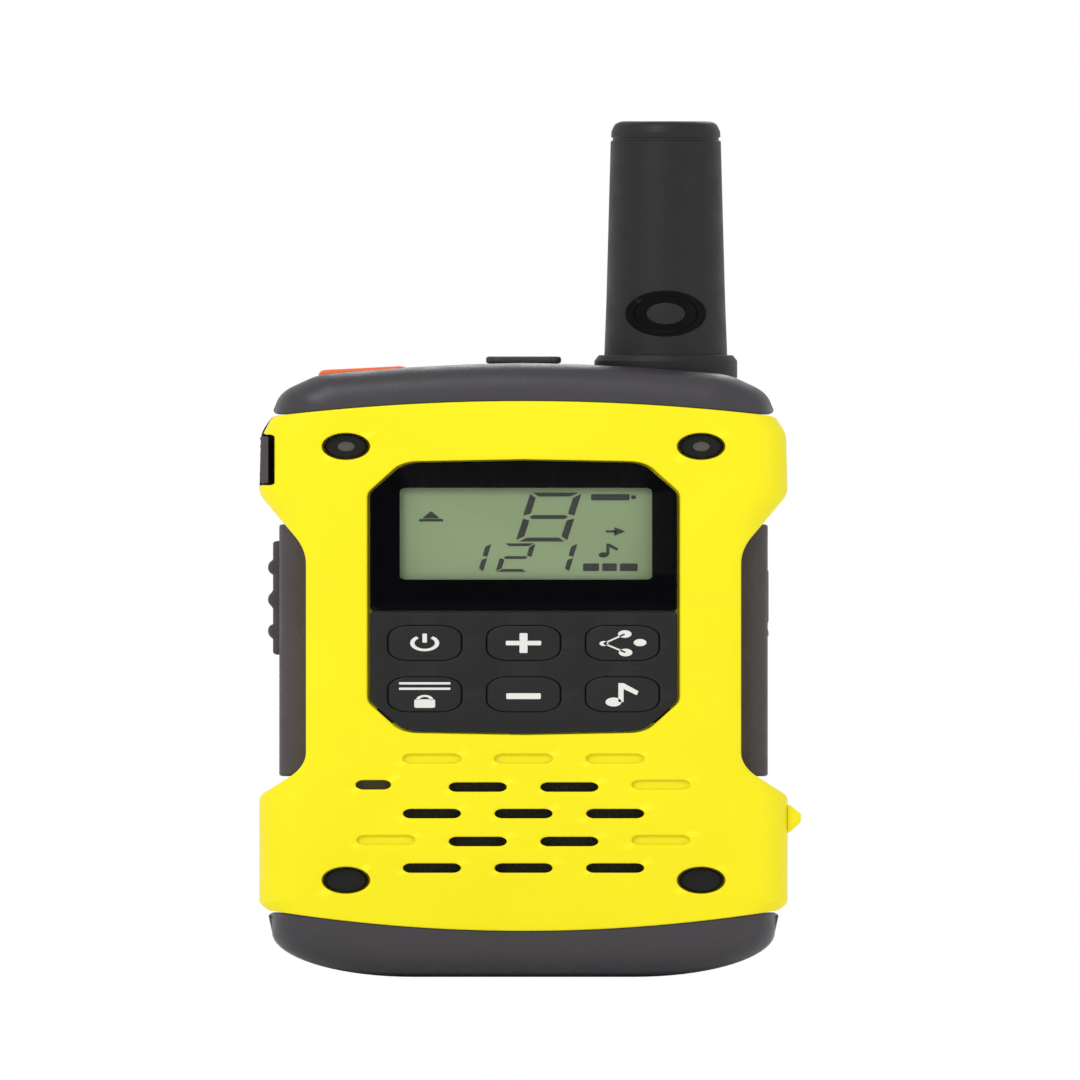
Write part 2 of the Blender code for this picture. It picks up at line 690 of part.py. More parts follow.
def make_front_panel():
    """The gloss display lens, the keypad panel below it, and the keys in it."""
    lens_corners = bezel_corners(BEZEL_SPLIT + HALF_GAP, BEZEL_TOP, False, True)
    lens = plate("display_lens", lens_corners, PANEL_FRONT, PANEL_BACK)
    finish(round_edges(lens, 0.25, 1), "black_gloss")

    panel_corners = bezel_corners(BEZEL_BOTTOM, BEZEL_SPLIT - HALF_GAP, True, False)
    panel = round_edges(plate("keypad_panel", panel_corners, PANEL_FRONT, PANEL_BACK), 0.25, 1)
    for name, x, z in key_centres():
        cut(panel, plate(name + "_window", key_corners(x, z, 0.25), PANEL_FRONT - 1, PANEL_BACK + 1, 2))
    finish(panel, "keypad_rubber")

    for name, x, z in key_centres():
        key = round_edges(plate(name, key_corners(x, z), PANEL_FRONT - 0.1, PANEL_BACK - 0.4, 2), 0.3, 1)
        join(key, rod(name + "_stem", (x, z), 2.0, PANEL_BACK - 0.8, -13.9, sides=12))
        set_origin(key, x, PANEL_FRONT, z)
        finish(key, "keypad_rubber")

    mat = block("keypad_mat", (-17.2, 17.2), (-13.2, -12.2), (57.0, 80.0))
    finish(round_edges(mat, 0.2, 1), "keypad_rubber")
    domes = block("dome_sheet", (-17.0, 17.0), (-11.9, -11.6), (57.2, 79.8))
    for name, x, z in key_centres():
        join(domes, rod(name + "_dome", (x, z), 2.4, -12.05, -11.7, sides=10, tip_radius=2.4))
    finish(domes, "tinned_steel")
    finish(block("key_board", (-18.0, 18.0), (-11.3, -10.3), (56.6, 80.6)), "circuit_board")


def make_display():
    """The LCD and the light guide behind it."""
    glass = block("lcd_glass", (-17.6, 18.2), (-13.9, -12.3), (86.0, 111.0))
    finish(glass, "lcd")
    guide = block("lcd_backlight", (-18.0, 18.6), (-12.0, -9.6), (84.0, 111.4))
    finish(round_edges(guide, 0.4, 1), "light_guide")


# ---------- electronics ----------


def make_boards():
    """The main circuit board and the shield can on its back."""
    half = [(0, 123.4, 0), (16.4, 123.4, 1), (16.4, 111.2, 0.5), (24.0, 111.2, 1)]
    half += [(24.0, 57.0, 1), (0, 57.0, 0)]
    board = plate("main_board", mirrored(half), -6.4, -4.9, 1)
    finish(board, "circuit_board")
    shield = block("shield_can", (-13.0, 13.0), (-4.6, -2.0), (92.0, 112.0))
    cut(shield, block("shield_hollow", (-12.6, 12.6), (-5.0, -2.4), (92.4, 111.6)))
    finish(shield, "tinned_steel")


def make_speaker():
    """The loudspeaker, its water barrier, and the microphone."""
    centre = (0, 0, SPEAKER_Z)
    barrier = plate("speaker_barrier", box_corners(*BARRIER, 4.0), -13.9, -13.6)
    finish(barrier, "mesh_fabric")
    frame = turned(
        "speaker_frame",
        [
            (SPEAKER_R, 13.3),
            (SPEAKER_R, 12.3),
            (14.6, 11.6),
            (13.2, 8.4),
            (6.0, 8.4),
            (6.0, 9.0),
            (12.6, 9.0),
            (14.0, 12.1),
            (16.2, 12.7),
            (16.2, 13.3),
        ],
        centre,
        facing_front=True,
        closed=True,
        sides=20,
    )
    finish(frame, "tinned_steel")
    cone = turned(
        "speaker_cone",
        [
            (0, 11.2),
            (3.4, 10.6),
            (13.0, 13.1),
            (15.4, 13.3),
            (15.7, 13.0),
            (13.4, 12.6),
            (5.4, 9.4),
            (5.4, 8.6),
            (4.9, 8.6),
            (4.9, 9.9),
            (0, 10.7),
        ],
        centre,
        facing_front=True,
        sides=20,
    )
    finish(cone, "paper_cone")
    magnet = turned(
        "speaker_magnet",
        [(0, 8.1), (9.0, 8.1), (9.6, 7.5), (9.6, 4.4), (9.0, 3.8), (0, 3.8)],
        centre,
        facing_front=True,
        sides=24,
    )
    finish(magnet, "tinned_steel")
    finish(rod("microphone", MIC, 2.2, -13.9, -11.6, sides=16), "tinned_steel")


def make_talk_button():
    """The talk button on the left grip, with three ridges, and its switch."""
    low, high = PTT_Z
    button = block("ptt_button", (PTT_FACE, PTT_INNER), PTT_Y, (low, high))
    round_edges(button, 0.9, 2)
    for ridge in PTT_RIDGES:
        join(button, rod("ptt_ridge", (-30.3, ridge), 1.5, PTT_Y[0] + 1.0, PTT_Y[1] - 1.0, sides=12))
    set_origin(button, PTT_FACE, sum(PTT_Y) / 2, (low + high) / 2)
    finish(button, "dark_rubber")
    finish(block("ptt_switch", (-23.3, -20.0), (-4.5, 2.5), (81.0, 87.5)), "switch_plastic")


def make_torch_button():
    """The side button in the left flare, with the stem that reaches its switch."""
    low, high = TORCH_Z
    y_span = (TORCH_Y[0] + GAP, TORCH_Y[1] - GAP)
    pad = block("torch_button", (-32.8, -31.8), y_span, (low + GAP, high - GAP))
    round_edges(pad, 0.35, 2)
    join(pad, block("torch_stem", (-32.0, -30.1), (-1.0, 3.0), (112.2, 117.8)))
    set_origin(pad, -32.8, 1.0, (low + high) / 2)
    finish(pad, "dark_rubber")
    finish(block("torch_switch", (-29.3, -26.0), (-2.0, 3.2), (112.0, 118.0)), "switch_plastic")


def make_sos_button():
    """The orange emergency button on the top, and its switch."""
    half = SOS[1] / 2
    left, right = SOS[0] - half, SOS[0] + half
    corners = [(left, 130.4, 0), (right, 130.4, 0), (right, 136.0, 1.0), (left, 134.7, 1.0)]
    button = round_edges(plate("sos_button", corners, -4.5, 4.5), 0.5, 2, angle=60)
    set_origin(button, SOS[0], 0, 135.4)
    finish(button, "orange_button")
    finish(block("sos_switch", (-21.0, -16.4), (-2.4, 2.0), (123.0, 129.2)), "switch_plastic")


def make_headset_socket():
    """The headset socket and the flap over it, which lifts about its rear edge."""
    socket = block("headset_socket", (-3.4, 3.4), (-3.4, 3.4), (121.0, 133.2))
    join(socket, rod("socket_neck", (0, 0), 2.8, 132.0, 135.8, "Z", 16))
    cut(socket, rod("socket_bore", (0, 0), 1.3, 123.0, 140.0, "Z", 12))
    finish(socket, "switch_plastic")
    hinge_y, hinge_z = JACK_HINGE
    half = [(0, 137.9, 0), (JACK_HALF - 1.2, 137.9, 0.6), (JACK_HALF, 136.8, 0), (0, 136.8, 0)]
    flap = round_edges(plate("headset_cover", mirrored(half), -5.2, hinge_y, 2), 0.3, 1)
    set_origin(flap, 0, hinge_y, hinge_z)
    finish(flap, "dark_rubber")


def make_charging_port():
    """The charging socket on the right, and the flap that covers it."""
    socket = block("charging_socket", (21.4, 27.0), (-4.5, -1.5), (79.0, 87.0))
    cut(socket, block("socket_mouth", (22.4, 30), (-4.0, -2.0), (79.6, 86.4)))
    finish(socket, "tinned_steel")
    flap = block("charging_cover", (28.4, GRIP_HALF + 0.1), PORT_Y, PORT_Z)
    round_edges(flap, 0.5, 2)
    set_origin(flap, GRIP_HALF, PORT_Y[1], sum(PORT_Z) / 2)
    finish(flap, "dark_rubber")


def make_antenna():
    """The fixed antenna: sheath, coil, brass foot, collar and round badge."""
    x, y = ANTENNA
    top = ANTENNA_TOP
    sheath = turned(
        "antenna_sheath",
        [
            (0, top),
            (4.6, top),
            (5.8, top - 0.5),
            (6.6, top - 1.6),
            (6.7, top - 3.6),
            (6.4, top - 3.8),
            (6.4, top - 4.5),
            (6.9, top - 4.8),
            (7.4, 150),
            (7.7, 137),
            (7.7, 136.1),
            (4.6, 136.1),
            (4.6, top - 8),
            (0, top - 8),
        ],
        (x, y, 0),
        sides=24,
    )
    cut(sheath, rod("badge_well", (x, 147.4), 5.4, y - 12, y - 5.1, sides=24))
    finish(sheath, "dark_rubber")
    badge = rod("antenna_badge", (x, 147.4), 5.1, y - 5.8, y - 5.35, sides=24)
    finish(badge, "dark_shell")
    collar = turned(
        "antenna_collar",
        [(8.1, 138.2), (8.6, 138.2), (8.9, 137.6), (8.9, 133.0), (5.0, 133.0), (5.0, 135.8), (8.1, 135.8)],
        (x, y, 0),
        closed=True,
        sides=24,
    )
    finish(collar, "dark_rubber")
    foot = turned(
        "antenna_foot",
        [(0, 142), (4.2, 142), (4.2, 121.0), (0, 121.0)],
        (x, y, 0),
        sides=20,
    )
    finish(foot, "brass")
    coil = wire("antenna_coil", helix(x, y, 142.8, 3.4, 5.2, 7, 9), 0.45)
    finish(coil, "brass")


def make_torch():
    """The lamp in the base: its lens and the light behind it."""
    lens_profile = [(0, 1.6), (4.1, 1.6), (4.1, 0.9), (3.4, 0.6), (0, 0.5)]
    lens = turned("torch_lens", lens_profile, (0, 7.2, 0), sides=20)
    finish(lens, "clear_lens")
    lamp = turned(
        "torch_lamp",
        [(0, 4.2), (4.4, 4.2), (4.4, 3.2), (2.2, 3.2), (1.9, 2.5), (0, 2.2)],
        (0, 7.2, 0),
        sides=16,
    )
    finish(lamp, "light_guide")


# ---------- battery ----------


def make_battery():
    """Three cells in one wrapped pack, and the contacts at their ends."""
    low, high = BAY[1] + 1.4, BAY[2] - 1.2
    middle_y = CELL_R + 0.35
    pack = block("battery_pack", (-CELL_PITCH, CELL_PITCH), (middle_y - 5.0, middle_y + 5.0), (low, high))
    for column in (-1, 0, 1):
        join(pack, rod("cell", (column * CELL_PITCH, middle_y), CELL_R, low, high, "Z", 20))
    finish(pack, "battery_wrap")
    top_plate = block("battery_contact_top", (-20.5, 20.5), (1.5, 13.5), (high + 0.3, high + 0.8))
    finish(top_plate, "spring_steel")
    springs = block("battery_contact_bottom", (-20.5, 20.5), (1.5, 13.5), (BAY[1] + 0.3, BAY[1] + 0.7))
    for column in (-1, 0, 1):
        foot = (column * CELL_PITCH, middle_y)
        join(springs, rod("contact_cone", foot, 3.2, BAY[1] + 0.6, low - 0.3, "Z", 12, tip_radius=1.6))
    finish(springs, "spring_steel")


def make_door():
    """The battery door, its seal and its sliding latch."""
    low, high = DOOR_Z
    door = plate("battery_door", box_corners(-DOOR_HALF, DOOR_HALF, low, high, 3.0), DOOR_INNER, BACK)
    round_edges(door, 0.4, 1)
    cut(door, block("latch_pocket", (-6.4, 6.4), (15.9, BACK + 1), (65.6, high + 1)))
    for step in range(5):
        cut(door, block("door_rib", (-14, 14), (BACK - 0.5, BACK + 1), (26.0 + 6 * step, 28.4 + 6 * step)))
    set_origin(door, 0, *DOOR_HINGE)
    finish(door, "dark_shell")
    finish(ring_plate("door_seal", door_ring(0.0), door_ring(1.0), 13.9, 14.8), "seal_rubber")
    latch = block("door_latch", (-6.0, 6.0), (16.2, 17.0), LATCH_Z)
    join(latch, block("latch_tongue", (-3.0, 3.0), (16.2, 16.9), (LATCH_Z[1] - 1, 77.4)))
    for step in range(3):
        join(latch, block("latch_ridge", (-4.6, 4.6), (16.5, 17.5), (69.4 + 1.8 * step, 70.2 + 1.8 * step)))
    set_origin(latch, 0, 16.6, sum(LATCH_Z) / 2)
    finish(latch, "dark_shell")


# ---------- belt clip ----------


def make_clip():
    """The belt clip: a bracket on the housing's rail, and a sprung arm on a pin."""
    pin_y, pin_z = CLIP_PIN
    bracket = block("clip_bracket", (-CLIP_HALF, CLIP_HALF), (17.3, 20.2), (103.4, 122.0))
    cut(bracket, block("slot_stem", (-3.7, 3.7), (16, 18.0), (100, RAIL_Z[1] + GAP)))
    cut(bracket, block("slot_head", (-5.9, 5.9), (17.65, 19.1), (100, RAIL_Z[1] + GAP)))
    for side in (-1, 1):
        ear_x = sorted((side * 6.3, side * 8.6))
        join(bracket, block("ear_neck", ear_x, (19.5, pin_y), (pin_z - 1.6, pin_z + 1.6)))
        join(bracket, rod("ear_eye", (pin_y, pin_z), 1.7, *ear_x, "X", 16))
    cut(bracket, rod("ear_bore", (pin_y, pin_z), 1.15, -12, 12, "X", 16))
    finish(bracket, "dark_shell")

    low, high = CLIP_Z
    arm_y0, arm_y1 = CLIP_ARM_Y
    arm = block("clip_arm", (-CLIP_HALF, CLIP_HALF), (arm_y0, arm_y1), (low, high))
    round_edges(arm, 0.8, 2)
    for side in (-1, 1):
        lug_x = sorted((side * 3.6, side * 5.9))
        join(arm, block("lug_neck", lug_x, (pin_y, arm_y0 + 0.5), (pin_z - 1.5, pin_z + 1.5)))
        join(arm, rod("lug_eye", (pin_y, pin_z), 1.6, *lug_x, "X", 16))
    hook_x = (-CLIP_HALF + 1, CLIP_HALF - 1)
    join(arm, block("clip_hook", hook_x, (22.0, arm_y0 + 0.5), (low + 0.8, low + 3.0)))
    cut(arm, rod("lug_bore", (pin_y, pin_z), 1.15, -12, 12, "X", 16))
    set_origin(arm, 0, pin_y, pin_z)
    finish(arm, "dark_shell")

    finish(rod("clip_pin", (pin_y, pin_z), 0.85, -8.4, 8.4, "X", 16), "spring_steel")
    spring = wire("clip_spring", helix(-2.7, pin_y, pin_z, 1.4, 0.9, 6, 8, "X"), 0.22)
    finish(spring, "spring_steel")


clear_scene()
PARTS = make_collection("two_way_radio")
CUTTERS = make_collection("cutters")
CUTTERS.hide_render = True
MATERIALS = {name: make_material(name) for name in FINISHES}

make_front_cover()
make_rear_housing()
make_bumpers()
make_grips()
make_seal()
make_screws()
make_front_panel()
make_display()
make_boards()
make_speaker()
make_talk_button()
make_torch_button()
make_sos_button()
make_headset_socket()
make_charging_port()
make_antenna()
make_torch()
make_battery()
make_door()
make_clip()
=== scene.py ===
"""Looks of the handheld two way radio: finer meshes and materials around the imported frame."""

import math

import bmesh
import bpy
import numpy as np
from mathutils import Matrix, Vector
from mathutils.geometry import delaunay_2d_cdt


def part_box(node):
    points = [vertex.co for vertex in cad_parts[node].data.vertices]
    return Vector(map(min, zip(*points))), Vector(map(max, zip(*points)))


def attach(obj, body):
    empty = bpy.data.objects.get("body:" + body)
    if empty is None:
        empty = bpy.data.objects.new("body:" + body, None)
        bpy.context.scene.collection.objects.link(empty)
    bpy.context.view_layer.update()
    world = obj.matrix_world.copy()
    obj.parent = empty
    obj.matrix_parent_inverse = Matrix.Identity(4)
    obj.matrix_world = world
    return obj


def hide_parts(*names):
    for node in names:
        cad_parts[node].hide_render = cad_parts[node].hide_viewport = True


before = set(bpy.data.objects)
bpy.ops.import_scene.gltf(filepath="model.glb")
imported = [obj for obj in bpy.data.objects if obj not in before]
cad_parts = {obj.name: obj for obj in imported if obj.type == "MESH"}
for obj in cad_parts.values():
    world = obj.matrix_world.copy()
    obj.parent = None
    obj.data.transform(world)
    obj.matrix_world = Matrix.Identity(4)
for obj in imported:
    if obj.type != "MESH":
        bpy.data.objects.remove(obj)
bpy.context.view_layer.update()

MM = 0.001
BODY = "radio_body"


# ---------- places, from the frame ----------


def span(node):
    """A CAD node's box in millimetres, as ((x0, x1), (y0, y1), (z0, z1))."""
    low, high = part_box(node)
    return tuple((low[i] / MM, high[i] / MM) for i in range(3))


def middle(node):
    """The middle of a CAD node's box in millimetres."""
    return tuple((low + high) / 2 for low, high in span(node))


COVER_BACK = span("front_cover")[1][1]
HOUSING = span("rear_housing")
HOUSING_FRONT = HOUSING[1][0]
LENS = span("display_lens")
LENS_FRONT, LENS_BACK = LENS[1]
PANEL = span("keypad_panel")

# Half widths of the body, outwards from the middle plane.
FLARE = HOUSING[0][1]
WAIST = 27.2
GRIP = 30.4

# Planes of the body along Y, and how far its soft edges reach in.
FRONT_FACE = -17.0
BACK = 17.0
SHELL_RADIUS = 6.0
CAP_RADIUS = 7.0
CAP_DEPTH = -span("bottom_bumper")[1][0]

# The gap round a piece that moves in a window, and half the gap of a seam.
CLEARANCE = 0.3
SEAM = 0.12

SIDES = ((-1, "left"), (1, "right"))
SCREWS = ("screw_top_left", "screw_top_right", "screw_bottom_left", "screw_bottom_right")


# ---------- outlines in millimetres ----------


def fillet(corners, steps=8):
    """Points of a closed outline whose corners are (u, v, radius)."""
    points = []
    count = len(corners)
    for i, (u, v, radius) in enumerate(corners):
        corner = Vector((u, v))
        if radius <= 0:
            points.append((u, v))
            continue
        before = (Vector(corners[i - 1][:2]) - corner).normalized()
        after = (Vector(corners[(i + 1) % count][:2]) - corner).normalized()
        half = before.angle(after) / 2
        centre = corner + (before + after).normalized() * radius / math.sin(half)
        start = corner + before * radius / math.tan(half) - centre
        end = corner + after * radius / math.tan(half) - centre
        turn = start.angle_signed(end)
        for step in range(steps + 1):
            point = centre + Matrix.Rotation(-turn * step / steps, 2) @ start
            points.append((point.x, point.y))
    return points


def mirrored(half):
    """A closed outline from its right half, which runs from the top to the bottom."""
    return list(half) + [(-u, v, r) for u, v, r in reversed(half) if u > 0]


def rectangle(u0, u1, v0, v1, radius):
    """A rectangle with round corners."""
    return [(u0, v0, radius), (u1, v0, radius), (u1, v1, radius), (u0, v1, radius)]


def around(node, axes, radius, gap=0.0):
    """A rectangle round a CAD node's box, seen along the axis that isn't named."""
    (u0, u1), (v0, v1) = (span(node)["XYZ".index(axis)] for axis in axes)
    return rectangle(u0 - gap, u1 + gap, v0 - gap, v1 + gap, radius)


def loop_of(corners, spacing=0.6, steps=8):
    """An anticlockwise closed loop, with long edges split to the spacing."""
    points = np.array(fillet(corners, steps))
    after = np.roll(points, -1, axis=0)
    if np.sum(points[:, 0] * after[:, 1] - after[:, 0] * points[:, 1]) < 0:
        points = points[::-1]
    dense = []
    for here, there in zip(points, np.roll(points, -1, axis=0)):
        parts = max(1, math.ceil(np.linalg.norm(there - here) / spacing))
        dense.extend(here + (there - here) * step / parts for step in range(parts))
    dense = np.array(dense)
    keep = np.linalg.norm(dense - np.roll(dense, 1, axis=0), axis=1) > 1e-5
    return dense[keep]


def offset(loop, reach):
    """The loop moved inwards (or outwards, if negative) along its normals."""
    along = np.roll(loop, -1, axis=0) - loop
    along /= np.linalg.norm(along, axis=1)[:, None]
    inward = np.stack((-along[:, 1], along[:, 0]), axis=1)
    bisector = inward + np.roll(inward, 1, axis=0)
    bisector /= np.linalg.norm(bisector, axis=1)[:, None]
    stretch = np.clip(np.sum(bisector * inward, axis=1), 0.5, 1.0)[:, None]
    return loop + bisector / stretch * reach


def inside(points, loop):
    """Which points lie inside a closed loop."""
    u, v = points[:, 0:1], points[:, 1:2]
    u0, v0 = loop[:, 0], loop[:, 1]
    u1, v1 = np.roll(u0, -1), np.roll(v0, -1)
    crosses = (v0 > v) != (v1 > v)
    rise = np.where(v1 == v0, 1e-12, v1 - v0)
    at = u0 + (v - v0) * (u1 - u0) / rise
    return np.sum(crosses & (u < at), axis=1) % 2 == 1


def distance(points, loop):
    """Each point's distance to a closed loop."""
    along = np.roll(loop, -1, axis=0) - loop
    length = np.sum(along * along, axis=1)
    result = np.empty(len(points))
    for first in range(0, len(points), 2000):
        part = points[first : first + 2000]
        rel = part[:, None, :] - loop[None]
        share = np.clip(np.sum(rel * along[None], axis=2) / length, 0, 1)
        gap = rel - share[..., None] * along[None]
        result[first : first + 2000] = np.sqrt(np.min(np.sum(gap * gap, axis=2), axis=1))
    return result


def top_edge(x):
    """Height of the seam under the top bumper."""
    return 128.1 - x * x / 290.0


def bottom_edge(x):
    """Height of the seam over the bottom bumper."""
    return 10.1 + x * x / 220.0


# The right half of the body's top edge, and the rounded foot below its right flare.
TOP_PROFILE = [(0, 136.5, 60), (7, 136.15, 30), (14, 135.5, 30), (25.5, 133.9, 6), (30.2, 130.0, 6)]
FOOT_TURNS = [math.radians(degrees) for degrees in range(0, 91, 5)]
FOOT = [(13.8 + 17.5 * math.cos(a), 10.0 - 10.0 * math.sin(a), 0) for a in FOOT_TURNS] + [(0, 0, 0)]


# The front outline of the whole body.
silhouette_half = TOP_PROFILE + [(30.9, 126.0, 5), (FLARE, 120.5, 9), (FLARE, 106.5, 8), (GRIP, 101.0, 6)]
silhouette_half += [(GRIP, 46.0, 6), (FLARE, 40.0, 5), (FLARE, 16.2, 2.5), (31.3, 13.6, 1.2)] + FOOT
SILHOUETTE = loop_of(mirrored(silhouette_half), 0.7)

# How far in the side button's pocket reaches.
POCKET_FLOOR = -31.1


def shell_corners(notch):
    """The yellow cover's outline; the notch in its left flare is where the side button shows."""
    across = np.linspace(0, 30, 13)
    half = [(x, top_edge(x), 0) for x in across] + [(31.35, top_edge(31.35), 1.6)]
    half += [(32.8, 120.9, 9), (FLARE, 107.2, 7), (WAIST, 95.0, 14), (WAIST, 46.8, 8)]
    half += [(FLARE, 40.3, 2.5), (FLARE, 16.4, 2.5), (31.9, bottom_edge(31.9), 1.4)]
    half += [(x, bottom_edge(x), 0) for x in reversed(across)]
    corners = mirrored(half)
    if notch:
        low, high = span("torch_button")[2]
        low, high = low - CLEARANCE, high + CLEARANCE
        pocket = [(-FLARE, low), (POCKET_FLOOR, low), (POCKET_FLOOR, high), (-32.6, high)]
        place = next(i for i, c in enumerate(corners) if c[0] < -32.9 and abs(c[1] - 107.2) < 0.01)
        corners[place + 1 : place + 2] = [(u, v, 0.5) for u, v in pocket]
    return corners


def panel_corners(node, grow=0.0):
    """The front panel's outline or its upper or lower part, with cut corners where it ends."""
    (_, half), (_, _), (low, high) = span(node) if node != "both" else LENS
    if node == "both":
        low = PANEL[2][0]
    cut_low, cut_high = node != "display_lens", node != "keypad_panel"
    half += grow
    right = [(0, high + grow, 0)]
    if cut_high:
        high -= 0.5
        right += [(half - 4.3, high + grow, 3.5), (half, high - 6.6, 3.5)]
    else:
        right += [(half, high + grow, 0.6)]
    if cut_low:
        low += 0.5
        right += [(half, low + 6.6, 3.5), (half - 4.3, low - grow, 3.5)]
    else:
        right += [(half, low - grow, 0.6)]
    right += [(0, low - grow - (0.5 if cut_low else 0), 0)]
    return mirrored(right)


# ---------- meshes ----------


def on_wanted_side(triangles, sides):
    """The triangles on the wanted side of the outlines, found by spreading from their edges."""
    owner = {}
    for place, corners in enumerate(triangles):
        for edge in zip(corners, corners[1:] + corners[:1]):
            owner[edge] = place
    state = {owner[edge]: side for edge, side in sides.items() if edge in owner}
    pending = list(state)
    while pending:
        here = pending.pop()
        corners = triangles[here]
        for a, b in zip(corners, corners[1:] + corners[:1]):
            other = owner.get((b, a))
            if (b, a) not in sides and other is not None and other not in state:
                state[other] = state[here]
                pending.append(other)
    return [corners for place, corners in enumerate(triangles) if state.get(place)]


class Skin:
    """Collects rings and faces of one closed surface, in millimetres."""

    def __init__(self):
        self.points = []
        self.faces = []

    def ring(self, points):
        """Adds a ring of points and gives their numbers."""
        start = len(self.points)
        self.points.extend(tuple(p) for p in points)
        return list(range(start, len(self.points)))

    def bridge(self, near, far):
        """Joins two rings of the same length."""
        for i in range(len(near)):
            self.faces.append((near[i - 1], near[i], far[i], far[i - 1]))

    def cap(self, ring):
        """Closes a ring with one flat face."""
        self.faces.append(tuple(ring))

    def fill(self, rings, lift, spacing, contours=None):
        """Triangles between an outer ring and its holes, lifted to a surface."""
        loops = [loop for _, loop in rings]
        low, high = loops[0].min(axis=0), loops[0].max(axis=0)
        rows = np.arange(low[1], high[1], spacing * 0.866)
        shifts = [low[0] + spacing * (row % 2) / 2 for row in range(len(rows))]
        grid = [(u, v) for shift, v in zip(shifts, rows) for u in np.arange(shift, high[0], spacing)]
        grid = np.array(grid).reshape(-1, 2)
        if contours is None:
            sets = [(grid, 0.62 * spacing)]
        else:
            curves, clear_of_curves = contours
            sets = [(grid[clear_of_curves(grid)], 0.62 * spacing), (curves, 0.22)]
        chosen = []
        for points, margin in sets:
            points = points[inside(points, loops[0])]
            for hole in loops[1:]:
                points = points[~inside(points, hole)]
            for loop in loops:
                points = points[distance(points, loop) > margin]
            chosen.extend(points)
        chosen = np.array(chosen).reshape(-1, 2)
        numbers = [n for ring, _ in rings for n in ring] + self.ring(lift(chosen))
        sides = {}
        start = 0
        for place, loop in enumerate(loops):
            size = len(loop)
            for i in range(size):
                here, there = start + i, start + (i + 1) % size
                sides[here, there], sides[there, here] = place == 0, place > 0
            start += size
        places = [Vector(p) for p in np.concatenate([*loops, chosen])]
        result = delaunay_2d_cdt(places, list(sides)[::2], [], 0, 1e-7, True)
        triangles = [tuple(result[3][i][0] for i in corners) for corners in result[2]]
        for corners in on_wanted_side(triangles, sides):
            self.faces.append(tuple(numbers[i] for i in corners))

    def build(self, name):
        """The surface as an object in metres, smooth with its sharp edges kept."""
        mesh = bpy.data.meshes.new(name)
        mesh.from_pydata([(x * MM, y * MM, z * MM) for x, y, z in self.points], [], self.faces)
        return as_object(name, mesh)


def smoothed(mesh, sharp=38):
    """Smooth shading with the edges over an angle kept sharp."""
    mesh.shade_smooth()
    mesh.set_sharp_from_angle(angle=math.radians(sharp))


def linked(name, mesh):
    """A new object in the scene."""
    obj = bpy.data.objects.new(name, mesh)
    bpy.context.scene.collection.objects.link(obj)
    return obj


def as_object(name, mesh):
    """An object for a mesh, with its faces turned outwards and smooth shading."""
    bm = bmesh.new()
    bm.from_mesh(mesh)
    bmesh.ops.recalc_face_normals(bm, faces=bm.faces)
    bm.to_mesh(mesh)
    bm.free()
    smoothed(mesh)
    return linked(name, mesh)


def rounding(radius, steps=4):
    """(Distance in from the edge, drop) pairs of a rounded edge, from the side to the face."""
    for step in range(steps + 1):
        angle = math.pi / 2 * step / steps
        yield radius * (1 - math.cos(angle)), radius * (1 - math.sin(angle))


def pillow_drop(depth_in, radius, power=2.4):
    """How far a soft edge falls back, at a distance in from the outline."""
    share = np.clip(1 - depth_in / radius, 0, 1)
    return radius * (1 - (1 - share**power) ** (1 / power))


def face_points(radius):
    """Points along the silhouette that follow the soft edge, and a test that keeps a grid off it."""
    curves = []
    for step in range(1, 9):
        depth_in = radius * (1 - math.cos(math.pi / 2 * step / 8))
        curve = offset(SILHOUETTE, depth_in)
        far_enough = distance(curve, SILHOUETTE) > depth_in - 0.02
        curves.append(curve[far_enough])
    return np.concatenate(curves), lambda grid: distance(grid, SILHOUETTE) > radius + 0.4


def front_lift(front, radius):
    """Lifts outline points to the body's soft front; a negative front gives the back."""
    sign = 1 if front < 0 else -1

    def lift(points, drop=0.0):
        depth_in = distance(points, SILHOUETTE) * inside(points, SILHOUETTE)
        y = front + sign * (pillow_drop(depth_in, radius) + drop)
        return np.stack((points[:, 0], y, points[:, 1]), axis=1)

    return lift


def flat(front, sign=1):
    """Lifts outline points to a flat face that its edges drop back from."""

    def lift(points, drop=0.0):
        return np.stack((points[:, 0], np.full(len(points), front + sign * drop), points[:, 1]), axis=1)

    return lift


def edge_rings(skin, loop, lift, radius, outward=False):
    """Rings over a rounded edge; gives the first ring and the last ring with its flat loop."""
    rings = []
    for step_in, drop in rounding(radius):
        inset = offset(loop, -step_in if outward else step_in)
        rings.append((skin.ring(lift(inset, drop)), inset))
    for (near, _), (far, _) in zip(rings, rings[1:]):
        skin.bridge(near, far)
    return rings[0][0], rings[-1]


def placed(axis, level, u, v):
    """A point from its place along an axis and its places along the other two."""
    return {"X": (level, u, v), "Y": (u, level, v), "Z": (u, v, level)}[axis]


def slab(name, corners, low, high, edge, axis="Y", steps=3, spacing=1.5, corner_steps=6):
    """A flat outline given a thickness along an axis, with both its edges rounded."""
    skin = Skin()
    loop = loop_of(corners, spacing, corner_steps)
    layers = [(low + drop, offset(loop, step_in)) for step_in, drop in rounding(edge, steps)][::-1]
    layers += [(high - drop, offset(loop, step_in)) for step_in, drop in rounding(edge, steps)]
    rings = [skin.ring([placed(axis, level, u, v) for u, v in outline]) for level, outline in layers]
    for near, far in zip(rings, rings[1:]):
        skin.bridge(near, far)
    skin.cap(rings[0])
    skin.cap(rings[-1])
    return skin.build(name)


